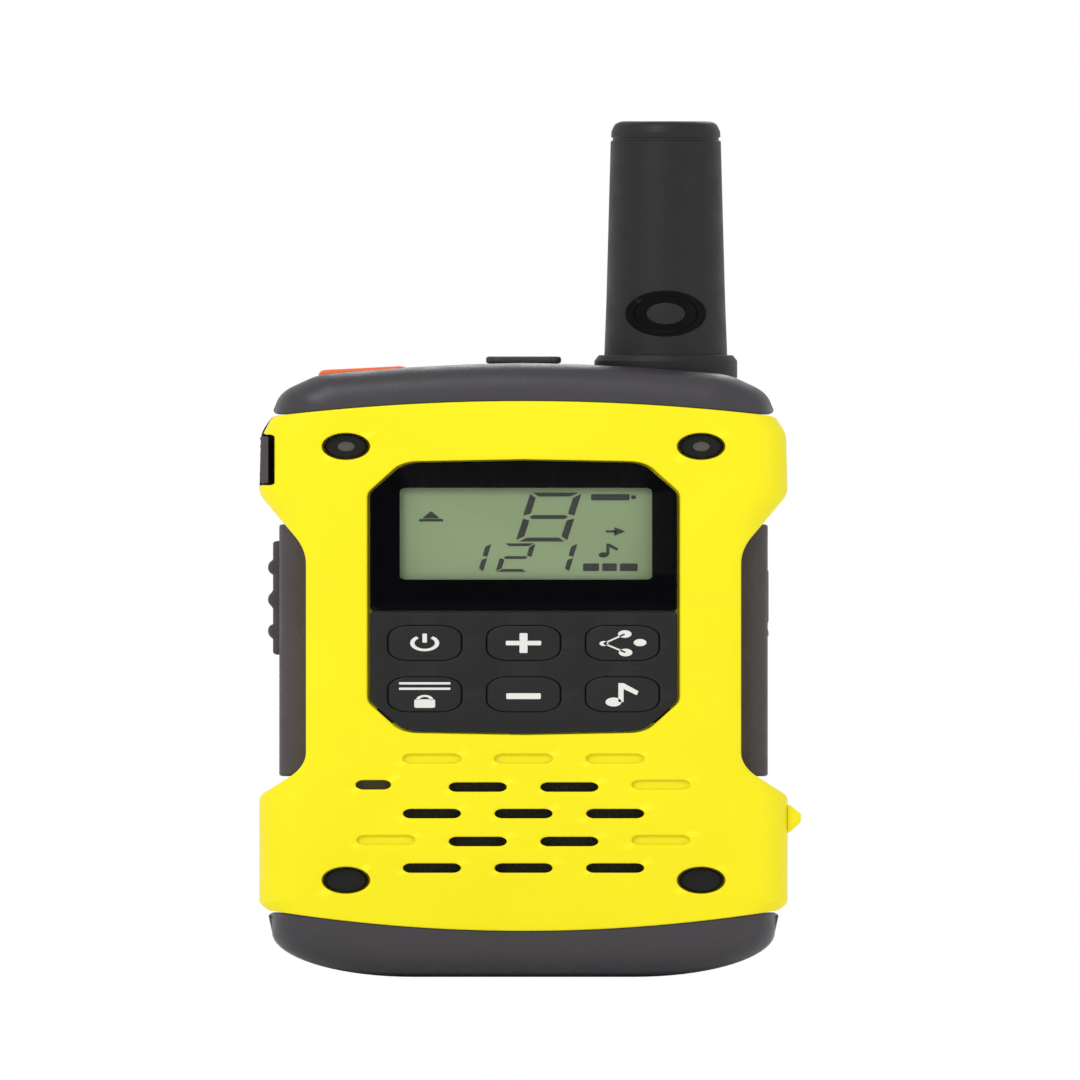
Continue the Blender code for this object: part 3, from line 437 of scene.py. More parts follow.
def lathe(name, profile, centre, axis="Z", steps=64, corner_steps=5):
    """A turned piece: a closed profile of (radius, height, corner radius) round an axis."""
    points = fillet(profile, corner_steps)
    skin = Skin()
    rings = []
    for radius, height in points:
        ring = []
        for step in range(steps if radius > 1e-6 else 1):
            angle = 2 * math.pi * step / steps
            shift = placed(axis, height, radius * math.cos(angle), radius * math.sin(angle))
            ring.append([at + change for at, change in zip(centre, shift)])
        rings.append(skin.ring(ring))
    for near, far in zip(rings, rings[1:] + rings[:1]):
        if len(near) == len(far) == 1:
            continue
        if 1 in (len(near), len(far)):
            tip, ring = (near, far) if len(near) == 1 else (far, near)
            skin.faces += [(ring[j - 1], ring[j], tip[0]) for j in range(len(ring))]
        else:
            skin.bridge(near, far)
    return skin.build(name)


def boolean(obj, cutter):
    """Cuts another object out of an object, and removes it."""
    modifier = obj.modifiers.new("boolean", "BOOLEAN")
    modifier.operation = "DIFFERENCE"
    modifier.solver = "EXACT"
    modifier.object = cutter
    graph = bpy.context.evaluated_depsgraph_get()
    mesh = bpy.data.meshes.new_from_object(obj.evaluated_get(graph))
    obj.modifiers.clear()
    obj.data = mesh
    smoothed(mesh)
    bpy.data.objects.remove(cutter)
    return obj


def prints(name, shapes, y, thickness, steps=4):
    """Flat printed shapes as thin plates facing the front; each shape is a list of corners."""
    skin = Skin()
    for corners in shapes:
        loop = fillet(corners, steps)
        front = skin.ring([(u, y, v) for u, v in loop])
        rear = skin.ring([(u, y + thickness, v) for u, v in loop])
        skin.bridge(front, rear)
        skin.cap(front)
        skin.cap(rear)
    return skin.build(name)


def refined(node, edge):
    """A copy of a CAD node with its edges rounded."""
    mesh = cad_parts[node].data.copy()
    bm = bmesh.new()
    bm.from_mesh(mesh)
    bmesh.ops.remove_doubles(bm, verts=bm.verts, dist=1e-6)
    bmesh.ops.dissolve_limit(bm, angle_limit=math.radians(2), verts=bm.verts, edges=bm.edges)
    bm.to_mesh(mesh)
    bm.free()
    mesh.materials.clear()
    smoothed(mesh, 30)
    obj = linked(node + "_look", mesh)
    bevel = obj.modifiers.new("edge", "BEVEL")
    bevel.width = edge * MM
    bevel.segments = 3
    bevel.limit_method = "ANGLE"
    bevel.angle_limit = math.radians(40)
    return obj


def piece(obj, body, material, *nodes, slot=None):
    """Puts a piece on its body with its material, in place of CAD nodes."""
    obj.data.materials.clear()
    obj.data.materials.append(material)
    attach(obj, body)
    if nodes:
        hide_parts(*nodes)
    return obj


# ---------- materials ----------


class Nodes:
    """Short calls for a material's node tree."""

    def __init__(self, name):
        self.material = bpy.data.materials.new(name)
        self.material.use_nodes = True
        self.tree = self.material.node_tree
        self.shader = self.tree.nodes["Principled BSDF"]
        self.place = self.tree.nodes.new("ShaderNodeTexCoord").outputs["Object"]

    def put(self, node, key, value):
        """Links or sets an input of a node."""
        if isinstance(value, bpy.types.NodeSocket):
            self.tree.links.new(value, node.inputs[key])
        else:
            node.inputs[key].default_value = value

    def set(self, node, **inputs):
        """Links or sets inputs by name, with _ for each space."""
        for key, value in inputs.items():
            self.put(node, key.replace("_", " "), value)
        return node

    def node(self, kind, **inputs):
        """A new node with its inputs."""
        return self.set(self.tree.nodes.new(kind), **inputs)

    def noise(self, scale, detail=3.0, place=None):
        """A noise value over the object."""
        made = self.node("ShaderNodeTexNoise", Scale=scale, Detail=detail, Roughness=0.5)
        return self.set(made, Vector=place or self.place).outputs["Fac"]

    def spread(self, value, low, high, start=0.3, end=0.7):
        """A value's range from start to end, spread from low to high."""
        ends = {"From_Min": start, "From_Max": end, "To_Min": low, "To_Max": high}
        return self.node("ShaderNodeMapRange", Value=value, **ends).outputs["Result"]

    def mix(self, factor, first, second):
        """A colour between two colours."""
        made = self.tree.nodes.new("ShaderNodeMix")
        made.data_type = "RGBA"
        for key, value in ((0, factor), (6, first), (7, second)):
            self.put(made, key, (*value, 1.0) if isinstance(value, tuple) else value)
        return made.outputs[2]

    def bump(self, height, strength, reach, **under):
        """Small relief from a value, over another Normal if one is given."""
        made = self.node("ShaderNodeBump", Strength=strength, Distance=reach, Height=height, **under)
        return made.outputs["Normal"]

    def finish(self, **inputs):
        """Sets the shader's inputs and gives the material."""
        self.set(self.shader, **inputs)
        return self.material


# Share of a measured colour that a surface keeps, as the key lamp lifts what faces it.
PAINT = 0.80


def moulded(name, colour, rough, grain=2600.0, strength=0.10, vary=0.06, rough_vary=0.06, specular=0.5):
    """Moulded plastic or rubber: fine grain, slow colour change and uneven sheen."""
    n = Nodes(name)
    colour = tuple(c * PAINT for c in colour)
    darker = tuple(c * (1 - vary) for c in colour)
    lighter = tuple(min(1.0, c * (1 + vary * 0.6)) for c in colour)
    tone = n.mix(n.spread(n.noise(55.0, 4.0), 0.0, 1.0), darker, lighter)
    edge = n.tree.nodes.new("ShaderNodeNewGeometry").outputs["Pointiness"]
    worn = tuple(min(1.0, c * 1.12 + 0.012) for c in colour)
    tone = n.mix(n.spread(edge, 0.0, 0.6, 0.53, 0.62), tone, worn)
    sheen = n.spread(n.noise(240.0, 4.0), rough - rough_vary, rough + rough_vary)
    fine = n.bump(n.noise(grain, 2.0), strength, 0.0002)
    normal = n.bump(n.noise(130.0, 2.0), strength * 0.35, 0.0006, Normal=fine)
    n.finish(Base_Color=tone, Roughness=sheen, Normal=normal, Metallic=0.0)
    n.shader.inputs["Specular IOR Level"].default_value = specular
    return n.material


def metal(name, colour, rough, grain=1500.0):
    """Metal with fine drawn scratches along Z."""
    n = Nodes(name)
    stretch = n.node("ShaderNodeMapping", Vector=n.place, Scale=(1.0, 1.0, 0.12))
    lines = n.noise(grain, 3.0, place=stretch.outputs["Vector"])
    tone = n.mix(n.spread(lines, 0.0, 1.0), tuple(c * 0.86 for c in colour), colour)
    n.finish(Base_Color=tone, Roughness=n.spread(lines, rough, rough + 0.14), Metallic=1.0)
    n.finish(Normal=n.bump(lines, 0.15, 0.0001))
    return n.material


def srgb(*channels):
    """A linear colour from 0 to 255 display values."""
    return tuple(c / 255 / 12.92 if c < 10 else ((c / 255 + 0.055) / 1.055) ** 2.4 for c in channels)


YELLOW = moulded("yellow_plastic", srgb(240, 227, 6), 0.42, 3000.0, 0.05, 0.025, 0.05, specular=0.22)
CAP_RUBBER = moulded("cap_rubber", srgb(49, 46, 51), 0.46, 2600.0, 0.16, 0.10, specular=0.4)
GRIP_RUBBER = moulded("grip_rubber", srgb(70, 64, 65), 0.66, 1700.0, 0.30, 0.12, specular=0.25)
SHEATH = moulded("antenna_rubber", srgb(24, 24, 25), 0.52, 2200.0, 0.12, 0.10, specular=0.26)
HOUSING_DARK = moulded("housing_plastic", srgb(44, 44, 46), 0.46, 1900.0, 0.22, 0.08, specular=0.3)
CLIP_DARK = moulded("clip_plastic", srgb(32, 32, 34), 0.4, 1900.0, 0.16, 0.08, specular=0.3)
GLOSS = moulded("gloss_black", srgb(2, 2, 4), 0.09, 400.0, 0.01, 0.10, 0.02, specular=0.03)
KEYPAD = moulded("keypad_rubber_look", srgb(25, 25, 26), 0.5, 2400.0, 0.10, 0.08, specular=0.2)
KEY_FACE = moulded("key_face", srgb(27, 27, 28), 0.48, 2400.0, 0.08, 0.08, specular=0.2)
PRINT = moulded("print_white", srgb(212, 212, 206), 0.5, 2400.0, 0.05, 0.04)
BADGE = moulded("badge_plastic", srgb(7, 7, 8), 0.34, 2400.0, 0.03, 0.06, specular=0.06)
ORANGE = moulded("button_orange", srgb(236, 96, 24), 0.45, 2400.0, 0.08, 0.05)
SWITCH = moulded("switch_black", srgb(34, 34, 36), 0.4, 1500.0, 0.06, 0.08)
FOAM = moulded("foam_black", srgb(36, 36, 38), 0.9, 1400.0, 0.7, 0.2, specular=0.2)
SEAL_DARK = moulded("seal_dark_rubber", srgb(30, 30, 31), 0.6, 1800.0, 0.08, 0.10)
SEAL = moulded("seal_red_rubber", srgb(150, 60, 44), 0.6, 1800.0, 0.08, 0.10)
WRAP = moulded("battery_wrap_look", srgb(30, 84, 128), 0.35, 900.0, 0.05, 0.08)
BOARD = moulded("board_green", srgb(22, 84, 52), 0.45, 900.0, 0.12, 0.16)
PAPER = moulded("cone_paper", srgb(40, 38, 36), 0.8, 2600.0, 0.4, 0.2)
FABRIC = moulded("barrier_fabric", srgb(14, 14, 15), 0.9, 3400.0, 0.6, 0.3)
GUIDE = moulded("guide_white", srgb(226, 228, 222), 0.4, 700.0, 0.05, 0.03)
LCD_BACK = moulded("lcd_ground", srgb(146, 168, 122), 0.38, 1200.0, 0.02, 0.02, 0.04)
LCD_INK = moulded("lcd_ink", srgb(16, 22, 12), 0.4, 1200.0, 0.02, 0.05)
BLACK_OXIDE = moulded("screw_black", srgb(9, 9, 11), 0.42, 1500.0, 0.08, 0.10, specular=0.2)
# The lighter grey in the top screws' sockets is painted highlight: the glint of the hex socket.
SOCKET_GLINT = moulded("screw_socket_painted_glint", srgb(68, 65, 58), 0.4, 1500.0, 0.08, 0.10)
# The microphone is a real dark part, but its dark olive is partly painted shade: the shaded mic slot it
# shows through, mixed with the yellow of the slot's rims.
MIC_SLOT_SHADE = moulded("microphone_painted_slot_shade", srgb(70, 66, 30), 0.6, 1500.0, 0.08, 0.10)
STEEL = metal("steel_tinned", srgb(190, 190, 192), 0.3)
SPRING = metal("steel_spring", srgb(168, 170, 174), 0.22)
BRASS = metal("brass_turned", srgb(214, 176, 98), 0.25)


def clear(name, tint, alpha, rough):
    """A clear plastic: a faint tint with the sheen of its surface."""
    n = Nodes(name)
    haze = n.spread(n.noise(300.0, 3.0), rough, rough + 0.05)
    tone = n.mix(n.spread(n.noise(60.0), 0.0, 1.0), tint, tuple(c * 0.9 for c in tint))
    n.finish(Base_Color=tone, Roughness=haze, Alpha=alpha)
    n.material.surface_render_method = "BLENDED"
    return n.material


PANE = clear("display_pane", srgb(40, 46, 40), 0.10, 0.05)
LENS_CLEAR = clear("lamp_lens", srgb(214, 220, 226), 0.35, 0.05)


# ---------- shell ----------

SLOT_LONG = 7.2
SLOT_TALL = 2.1
SLOT_ROWS = ((42.2, (-5.7, 5.7)), (36.3, (-11.4, 0, 11.4)), (30.1, (-5.7, 5.7)), (24.2, (-11.4, 0, 11.4)))
SLOT_EDGE = 0.28
DIMPLES = ((-11.4, 48.5), (0, 48.5), (11.4, 48.5), (17.1, 42.7), (-17.1, 30.4), (17.1, 30.4))
DIMPLE_FLOOR = FRONT_FACE + 0.75
SCREW_WELL = -13.6
INNER_WALL = -14.2
RECESS = -15.3
CAVITY = mirrored([
    (0, 124.8, 0), (17.0, 124.0, 2), (17.0, 113.0, 1), (24.8, 111.5, 2),
    (24.8, 30.0, 2), (17.6, 28.5, 1), (17.6, 15.2, 2), (0, 14.0, 0),
])


def slot_corners(x, z, long=SLOT_LONG, tall=SLOT_TALL, ends=0.98):
    """A slot with round ends."""
    return rectangle(x - long / 2, x + long / 2, z - tall / 2, z + tall / 2, tall / 2 * ends)


def round_corners(x, z, radius):
    """A circle as a square with full corner radii."""
    return rectangle(x - radius, x + radius, z - radius, z + radius, radius * 0.999)


def key_places():
    """Each key with the middle of its face."""
    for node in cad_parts:
        if node.startswith("key_") and node != "key_board":
            x, _, z = middle(node)
            yield node, x, z


def build_cover():
    """The yellow cover with rounded rims at every opening, and its hollow inside."""
    skin = Skin()
    lift = front_lift(FRONT_FACE, SHELL_RADIUS)
    outer = offset(loop_of(shell_corners(True), 0.6), SEAM)
    side, face = edge_rings(skin, outer, lift, 0.3)
    back = skin.ring(flat(COVER_BACK)(outer))
    skin.bridge(side, back)
    faces = [face]

    def opening(corners, depth, edge):
        """A hole from the face down to a depth; gives the ring and the loop at its end."""
        loop = loop_of(corners, 0.5, 9)
        rim, top = edge_rings(skin, loop, lift, edge, outward=True)
        faces.append(top)
        floor = skin.ring(flat(depth)(loop))
        skin.bridge(rim, floor)
        return floor, loop

    mic_x, _, mic_z = middle("microphone")
    slots = [slot_corners(x, z) for z, places in SLOT_ROWS for x in places]
    slots.append(slot_corners(mic_x, mic_z, 4.4))
    walls = [opening(corners, INNER_WALL, SLOT_EDGE) for corners in slots]
    for x, z in DIMPLES:
        skin.cap(opening(slot_corners(x, z, ends=0.95), DIMPLE_FLOOR, 0.3)[0])
    for node in SCREWS:
        x, _, z = middle(node)
        skin.cap(opening(round_corners(x, z, 3.0), SCREW_WELL, 0.3)[0])
    recess = [opening(panel_corners("both", CLEARANCE), RECESS, 0.3)]
    holes = [rectangle(-16.4, 17.0, 87.3, 109.7, 1.0)]
    holes += [round_corners(x, z, 2.6) for _, x, z in key_places()]
    for corners in holes:
        loop = loop_of(corners, 1.0)
        top = skin.ring(flat(RECESS)(loop))
        deep = skin.ring(flat(INNER_WALL)(loop))
        skin.bridge(top, deep)
        recess.append((top, loop))
        walls.append((deep, loop))
    skin.fill(recess, flat(RECESS), 3.0)
    skin.fill(faces, lift, 1.15, face_points(SHELL_RADIUS))
    cavity = loop_of(CAVITY, 1.5)
    inner = skin.ring(flat(INNER_WALL)(cavity))
    rim = skin.ring(flat(COVER_BACK)(cavity))
    skin.bridge(inner, rim)
    skin.fill([(inner, cavity), *walls], flat(INNER_WALL), 4.0)
    skin.fill([(back, outer), (rim, cavity)], flat(COVER_BACK), 4.0)
    return skin.build("front_cover_look")


piece(build_cover(), BODY, YELLOW, "front_cover", slot="yellow_shell")
lug_nose = [(33.2, 38.2, 0.6), (34.55, 36.2, 0.9), (34.5, 34.4, 0.8), (33.2, 32.2, 0.6)]
lug = slab("lanyard_lug", [(32.4, 38.6, 0.4), *lug_nose, (32.4, 31.6, 0.4)], -12.9, -8.7, 0.45)
piece(lug, BODY, YELLOW, "front_cover", slot="yellow_shell")


def build_housing():
    """The dark housing behind the cover: its soft back, battery bay and door rebate."""
    skin = Skin()
    lift = front_lift(BACK, SHELL_RADIUS)
    outer = offset(loop_of(shell_corners(False), 0.6), SEAM)
    side, face = edge_rings(skin, outer, lift, 0.3)
    front = skin.ring(flat(HOUSING_FRONT)(outer))
    skin.bridge(side, front)
    rebate = loop_of(around("battery_door", "XZ", 3.3, CLEARANCE), 0.8)
    rim, top = edge_rings(skin, rebate, lift, 0.3, outward=True)
    shelf_lift = flat(span("battery_door")[1][0] - CLEARANCE)
    shelf = skin.ring(shelf_lift(rebate))
    skin.bridge(rim, shelf)
    bay = loop_of(rectangle(-22.0, 22.0, 18.5, 72.0, 1.5), 1.0)
    mouth = skin.ring(shelf_lift(bay))
    deep = skin.ring(flat(0.0)(bay))
    skin.bridge(mouth, deep)
    skin.cap(deep)
    skin.fill([(shelf, rebate), (mouth, bay)], shelf_lift, 3.0)
    skin.fill([face, top], lift, 1.2, face_points(SHELL_RADIUS))
    cavity = loop_of(CAVITY, 1.5)
    rim = skin.ring(flat(HOUSING_FRONT)(cavity))
    floor = skin.ring(flat(-2.2)(cavity))
    skin.bridge(rim, floor)
    skin.cap(floor)
    skin.fill([(front, outer), (rim, cavity)], flat(HOUSING_FRONT), 4.0)
    return skin.build("rear_housing_look")


housing = build_housing()
notch = slab("latch_notch", rectangle(-3.4, 3.4, 74.0, 78.0, 0.3), 14.7, 19.0, 0.1)
housing = boolean(housing, notch)
talk_window = slab("talk_window", around("ptt_button", "YZ", 0.9, CLEARANCE), -40.0, -25.5, 0.1, "X")
housing = boolean(housing, talk_window)
(port_y0, port_y1), (port_z0, port_z1) = span("charging_socket")[1:]
port_mouth = rectangle(port_y0 - 0.3, port_y1 + 0.3, port_z0 - 0.4, port_z1 + 0.4, 0.6)
housing = boolean(housing, slab("port_window", port_mouth, 21.2, 40.0, 0.1, "X"))
_, (_, pad_back), (pad_low, pad_high) = span("torch_button")
pocket_hole = rectangle(-40.0, POCKET_FLOOR, pad_low - CLEARANCE, pad_high + CLEARANCE, 0.5)
pocket = slab("side_pocket", pocket_hole, -20.0, pad_back + CLEARANCE, 0.1)
piece(boolean(housing, pocket), BODY, HOUSING_DARK, "rear_housing", slot="dark_shell")


def band(name, outer, inner, low, high):
    """A flat ring between two outlines, with a thickness along Y."""
    skin = Skin()
    levels = []
    for loop in (outer, inner):
        near, far = skin.ring(flat(low)(loop)), skin.ring(flat(high)(loop))
        skin.bridge(near, far)
        levels.append((near, far, loop))
    skin.fill([(near, loop) for near, _, loop in levels], flat(low), 4.0)
    skin.fill([(far, loop) for _, far, loop in levels], flat(high), 4.0)
    return skin.build(name)


seal_half = [(x, top_edge(x), 0) for x in (0, 10, 20)]
seal_half += [(30.6, 124.8, 4), (30.6, 106.0, 8), (WAIST, 95.0, 14), (WAIST, 46.8, 8)]
seal_half += [(FLARE, 40.3, 3), (FLARE, 15.5, 4)] + [(x, bottom_edge(x), 0) for x in (20, 10, 0)]
wall = loop_of(mirrored(seal_half), 0.9)
lip_levels = (COVER_BACK - SEAM, HOUSING_FRONT + SEAM)
lip = band("housing_seal_lip", offset(wall, 0.9), offset(wall, 2.0), *lip_levels)
piece(lip, BODY, SEAL_DARK, "housing_seal", slot="seal_rubber")
piece(refined("housing_seal", 0.12), BODY, SEAL_DARK, "housing_seal", slot="seal_rubber")

RAIL_LOW, RAIL_HIGH = 103.0, 119.0
rail_stem = slab("rail_stem", rectangle(-3.4, 3.4, RAIL_LOW, RAIL_HIGH, 0.4), 16.6, 18.2, 0.1)
rail_head = slab("rail_head", rectangle(-5.6, 5.6, RAIL_LOW, RAIL_HIGH, 0.6), 17.9, 18.8, 0.2)
belt_pad = slab("belt_pad", rectangle(-8.0, 8.0, 82.0, 102.0, 1.2), 16.4, 17.25, 0.2)
for obj, material in ((rail_stem, HOUSING_DARK), (rail_head, HOUSING_DARK), (belt_pad, CAP_RUBBER)):
    piece(obj, BODY, material, "rear_housing")


def build_cap(name, corners, radius):
    """A rubber cap with a soft front and back that meet in one skin."""
    skin = Skin()
    outer = loop_of(corners, 0.7)
    front, rear = front_lift(-CAP_DEPTH, radius), front_lift(CAP_DEPTH, radius)
    side_front, face_front = edge_rings(skin, outer, front, 0.35)
    side_rear, face_rear = edge_rings(skin, outer, rear, 0.35)
    skin.bridge(side_front, side_rear)
    skin.fill([face_front], front, 1.15, face_points(radius))
    skin.fill([face_rear], rear, 1.15, face_points(radius))
    return skin.build(name)


def seam(edge, gap, start, end, count=14):
    """Points along a seam between two places."""
    return [(x, edge(x) + gap, 0) for x in np.linspace(start, end, count)]


top_half = TOP_PROFILE + [(31.35, 124.95, 0.9)] + seam(top_edge, -SEAM, 29.5, 0)
top_cap = build_cap("top_cap_look", mirrored(top_half), CAP_RADIUS)
antenna_x, antenna_y, _ = middle("antenna_foot")
collar_low = span("antenna_collar")[2][0]
well_profile = [(0, 0, 0), (9.2, 0, 0.2), (9.2, 9.0, 0), (0, 9.0, 0)]
well = lathe("collar_well", well_profile, (antenna_x, antenna_y, collar_low - 0.3))
top_cap = boolean(top_cap, well)
sos_well = slab("sos_well", around("sos_button", "XY", 0.9, CLEARANCE), 129.0, 140.0, 0.1, "Z")
top_cap = boolean(top_cap, sos_well)
jack_well = lathe("jack_well", [(0, 0, 0), (3.2, 0, 0), (3.2, 9.0, 0), (0, 9.0, 0)], (0, 0, 130.0))
piece(boolean(top_cap, jack_well), BODY, CAP_RUBBER, "top_bumper", slot="dark_rubber")

bottom_half = seam(bottom_edge, SEAM, 0, 30.0) + [(31.85, 14.5, 0.9)] + FOOT
bottom_cap = build_cap("bottom_cap_look", mirrored(bottom_half), CAP_RADIUS)
lamp_y = middle("torch_lens")[1]
lamp_well = lathe("lamp_well", [(0, -3, 0), (4.4, -3, 0), (4.4, 1.9, 0), (0, 1.9, 0)], (0, lamp_y, 0))
piece(boolean(bottom_cap, lamp_well), BODY, CAP_RUBBER, "bottom_bumper", slot="dark_rubber")


# ---------- sides: buttons and grips as height fields along X ----------


def side_pad(name, side, corners, inner, outer, edge, shape=None, spacing=1.0):
    """A pad on the left (-1) or right (1): an outline in (y, z) with a shaped outer face."""
    skin = Skin()
    loop = loop_of(corners, 0.7)
    shape = shape or (lambda points: np.zeros(len(points)))

    def lift(points, drop=0.0):
        x = side * (outer - drop - shape(points))
        return np.stack((x, points[:, 0], points[:, 1]), axis=1)

    rim, face = edge_rings(skin, loop, lift, edge)
    root = skin.ring([(side * inner, y, z) for y, z in loop])
    skin.bridge(rim, root)
    skin.cap(root)
    skin.fill([face], lift, spacing)
    return skin.build(name)


def grip_shape(points):
    """How far the grip's face lies inside its outermost plane: soft to the front and the back."""
    y, z = points[:, 0], points[:, 1]
    soft = pillow_drop(13.2 - np.abs(y), 3.4, 2.2) * 0.55
    ribs = 0.5 + 0.5 * np.cos(2 * math.pi * (z + np.abs(y)) / 3.0)
    field = np.clip((11.2 - np.abs(y)) / 1.0, 0, 1) * np.clip((np.minimum(z - 47.2, 98.2 - z)) / 1.0, 0, 1)
    return soft + 0.3 * ribs * field


GRIP_LOW, GRIP_HIGH = span("right_grip")[2]
for (side, label), node in zip(SIDES, ("ptt_button", "charging_cover")):
    name = label + "_grip"
    outline = rectangle(-13.2, 13.2, GRIP_LOW, GRIP_HIGH, 1.2)
    grip = side_pad(name + "_look", side, outline, 27.06, GRIP, 0.5, grip_shape, 0.6)
    reach = sorted((side * 26.0, side * 40.0))
    window = slab(name + "_window", around(node, "YZ", 0.9, CLEARANCE), *reach, 0.1, "X")
    piece(boolean(grip, window), BODY, GRIP_RUBBER, name, slot="dark_rubber")


def ptt_shape(points):
    """Three rounded ridges across the talk button."""
    z = points[:, 1]
    ridge = np.zeros(len(points))
    for place in (91.0, 83.9, 76.9):
        ridge = np.maximum(ridge, np.sqrt(np.clip(1 - ((z - place) / 1.5) ** 2, 0, 1)))
    return 0.62 * (1 - ridge)


ptt_outline = around("ptt_button", "YZ", 1.4)
ptt_face = -span("ptt_button")[0][0]
ptt = side_pad("ptt_button_look", -1, ptt_outline, 28.3, ptt_face, 0.6, ptt_shape, 0.45)
piece(ptt, "ptt_button", GRIP_RUBBER, "ptt_button", slot="dark_rubber")


def pad_shape(points):
    """Fine ribs across the torch button."""
    return 0.18 * (0.5 + 0.5 * np.cos(2 * math.pi * points[:, 1] / 1.8))


pad_face = -span("torch_button")[0][0]
pad_outline = around("torch_button", "YZ", 1.2)
pad = side_pad("torch_button_look", -1, pad_outline, 31.78, pad_face, 0.35, pad_shape, 0.4)
piece(pad, "torch_button", GRIP_RUBBER, "torch_button", slot="dark_rubber")

(port_root, port_face), _, (port_low, _) = span("charging_cover")


def port_shape(points):
    """A finger groove near the lower end of the charging cover."""
    return 0.25 * np.exp(-(((points[:, 1] - port_low - 2.4) / 0.7) ** 2))


port_outline = around("charging_cover", "YZ", 1.0)
flap = side_pad("charging_cover_look", 1, port_outline, port_root, port_face, 0.45, port_shape, 0.5)
piece(flap, "charging_cover", CAP_RUBBER, "charging_cover", slot="dark_rubber")


# ---------- front panel ----------


def pierced(name, corners, holes, front, back, edge, hole_edge=None, spacing=3.0):
    """A plate facing along Y with rounded front edges; a hole is (corners, depth), or goes through."""
    skin = Skin()
    sign = 1 if back > front else -1
    lift = flat(front, sign)
    outer = loop_of(corners, 0.8)
    rim, face = edge_rings(skin, outer, lift, edge)
    rear = skin.ring(flat(back)(outer))
    skin.bridge(rim, rear)
    faces, backs = [face], [(rear, outer)]
    for hole, depth in holes:
        loop = loop_of(hole, 0.5)
        rim, face = edge_rings(skin, loop, lift, hole_edge or edge, outward=True)
        floor = skin.ring(flat(back if depth is None else front + sign * depth)(loop))
        skin.bridge(rim, floor)
        faces.append(face)
        if depth is None:
            backs.append((floor, loop))
        else:
            skin.cap(floor)
    skin.fill(faces, lift, spacing)
    skin.fill(backs, flat(back), spacing)
    return skin.build(name)


WINDOW = (-15.4, 16.0, 88.3, 108.7)


def window_plate(name, grow, radius, low, high, edge):
    """A thin plate in the display's window, larger than it on every side by a length."""
    left, right, bottom, top = WINDOW
    corners = rectangle(left - grow, right + grow, bottom - grow, top + grow, radius)
    return slab(name, corners, low, high, edge)


window_hole = [(rectangle(*WINDOW, 0.8), None)]
lens = pierced("display_lens_look", panel_corners("display_lens"), window_hole, *LENS[1], 0.35, 0.12)
piece(lens, BODY, GLOSS, "display_lens", slot="black_gloss")
pane = window_plate("display_pane", -0.02, 0.78, LENS_FRONT + 0.03, LENS_FRONT + 0.8, 0.05)
piece(pane, BODY, PANE, "display_lens")
film = window_plate("lcd_film", 0.8, 0.6, LENS_BACK + 0.02, LENS_BACK + 0.22, 0.04)
piece(film, BODY, LCD_BACK, "lcd_glass", slot="lcd")
glass = slab("lcd_glass_look", around("lcd_glass", "XZ", 0.5), *span("lcd_glass")[1], 0.1)
piece(glass, BODY, LCD_BACK, "lcd_glass", slot="lcd")

windows = [(around(node, "XZ", 2.66, 0.06), None) for node, _, _ in key_places()]
panel = pierced("keypad_panel_look", panel_corners("keypad_panel"), windows, *PANEL[1], 0.35, 0.15)
piece(panel, BODY, KEYPAD, "keypad_panel", slot="keypad_rubber")

membrane_holes = [(round_corners(x, z, 2.3), None) for _, x, z in key_places()]
membrane_outline = rectangle(-18.2, 18.2, 56.5, 80.6, 2.0)
membrane = pierced("keypad_membrane", membrane_outline, membrane_holes, RECESS - 0.12, RECESS - 0.02, 0.03)
piece(membrane, BODY, KEYPAD, "keypad_panel")
gasket_outline = rectangle(-18.9, 18.9, 80.7, 81.9, 0.3)
gasket = slab("panel_gasket", gasket_outline, LENS_FRONT + 0.45, RECESS - 0.05, 0.05)
piece(gasket, BODY, KEYPAD, "keypad_panel")


def stem(x, z, top, bottom, radius):
    """The post behind a key."""
    profile = [(0, top, 0), (radius, top, 0), (radius, bottom, 0.2), (0, bottom, 0)]
    return lathe("stem", profile, (x, 0, z), "Y", 24)


def merged(name, *objects):
    """Several objects as one."""
    bm = bmesh.new()
    for obj in objects:
        bm.from_mesh(obj.data)
        bpy.data.objects.remove(obj)
    mesh = bpy.data.meshes.new(name)
    bm.to_mesh(mesh)
    bm.free()
    return as_object(name, mesh)


def arc(x, z, radius, angles):
    """Points along an arc, without corner radii."""
    return [(x + radius * math.cos(a), z + radius * math.sin(a), 0) for a in angles]


def disc(x, z, radius, count=20):
    """A small circle."""
    return arc(x, z, radius, [2 * math.pi * i / count for i in range(count)])


def arc_band(x, z, radius, width, start, end, count=16):
    """A band along an arc, angles in degrees."""
    angles = [math.radians(start + (end - start) * i / count) for i in range(count + 1)]
    return arc(x, z, radius + width / 2, angles) + arc(x, z, radius - width / 2, angles[::-1])


def stroke(x0, z0, x1, z1, width):
    """A straight line of a width between two points."""
    along = Vector((x1 - x0, z1 - z0)).normalized() * width / 2
    u, v = -along.y, along.x
    return [(x0 + u, z0 + v, 0.1), (x0 - u, z0 - v, 0.1), (x1 - u, z1 - v, 0.1), (x1 + u, z1 + v, 0.1)]


def note(x, z, size):
    """A music note: head, stem and flag."""
    head = disc(x - size * 0.22, z - size * 0.34, size * 0.2)
    post = rectangle(x - size * 0.1, x + size * 0.03, z - size * 0.34, z + size * 0.5, 0.05)
    corners = [(0.03, 0.5, 0), (0.4, 0.14, 0.1), (0.36, -0.04, 0.1), (0.03, 0.24, 0)]
    return [head, post, [(x + size * u, z + size * v, radius) for u, v, radius in corners]]


def power_mark(x, z):
    """A broken ring with a stroke."""
    return [arc_band(x, z, 1.55, 0.55, 125, 415), rectangle(x - 0.28, x + 0.28, z + 0.1, z + 2.1, 0.1)]


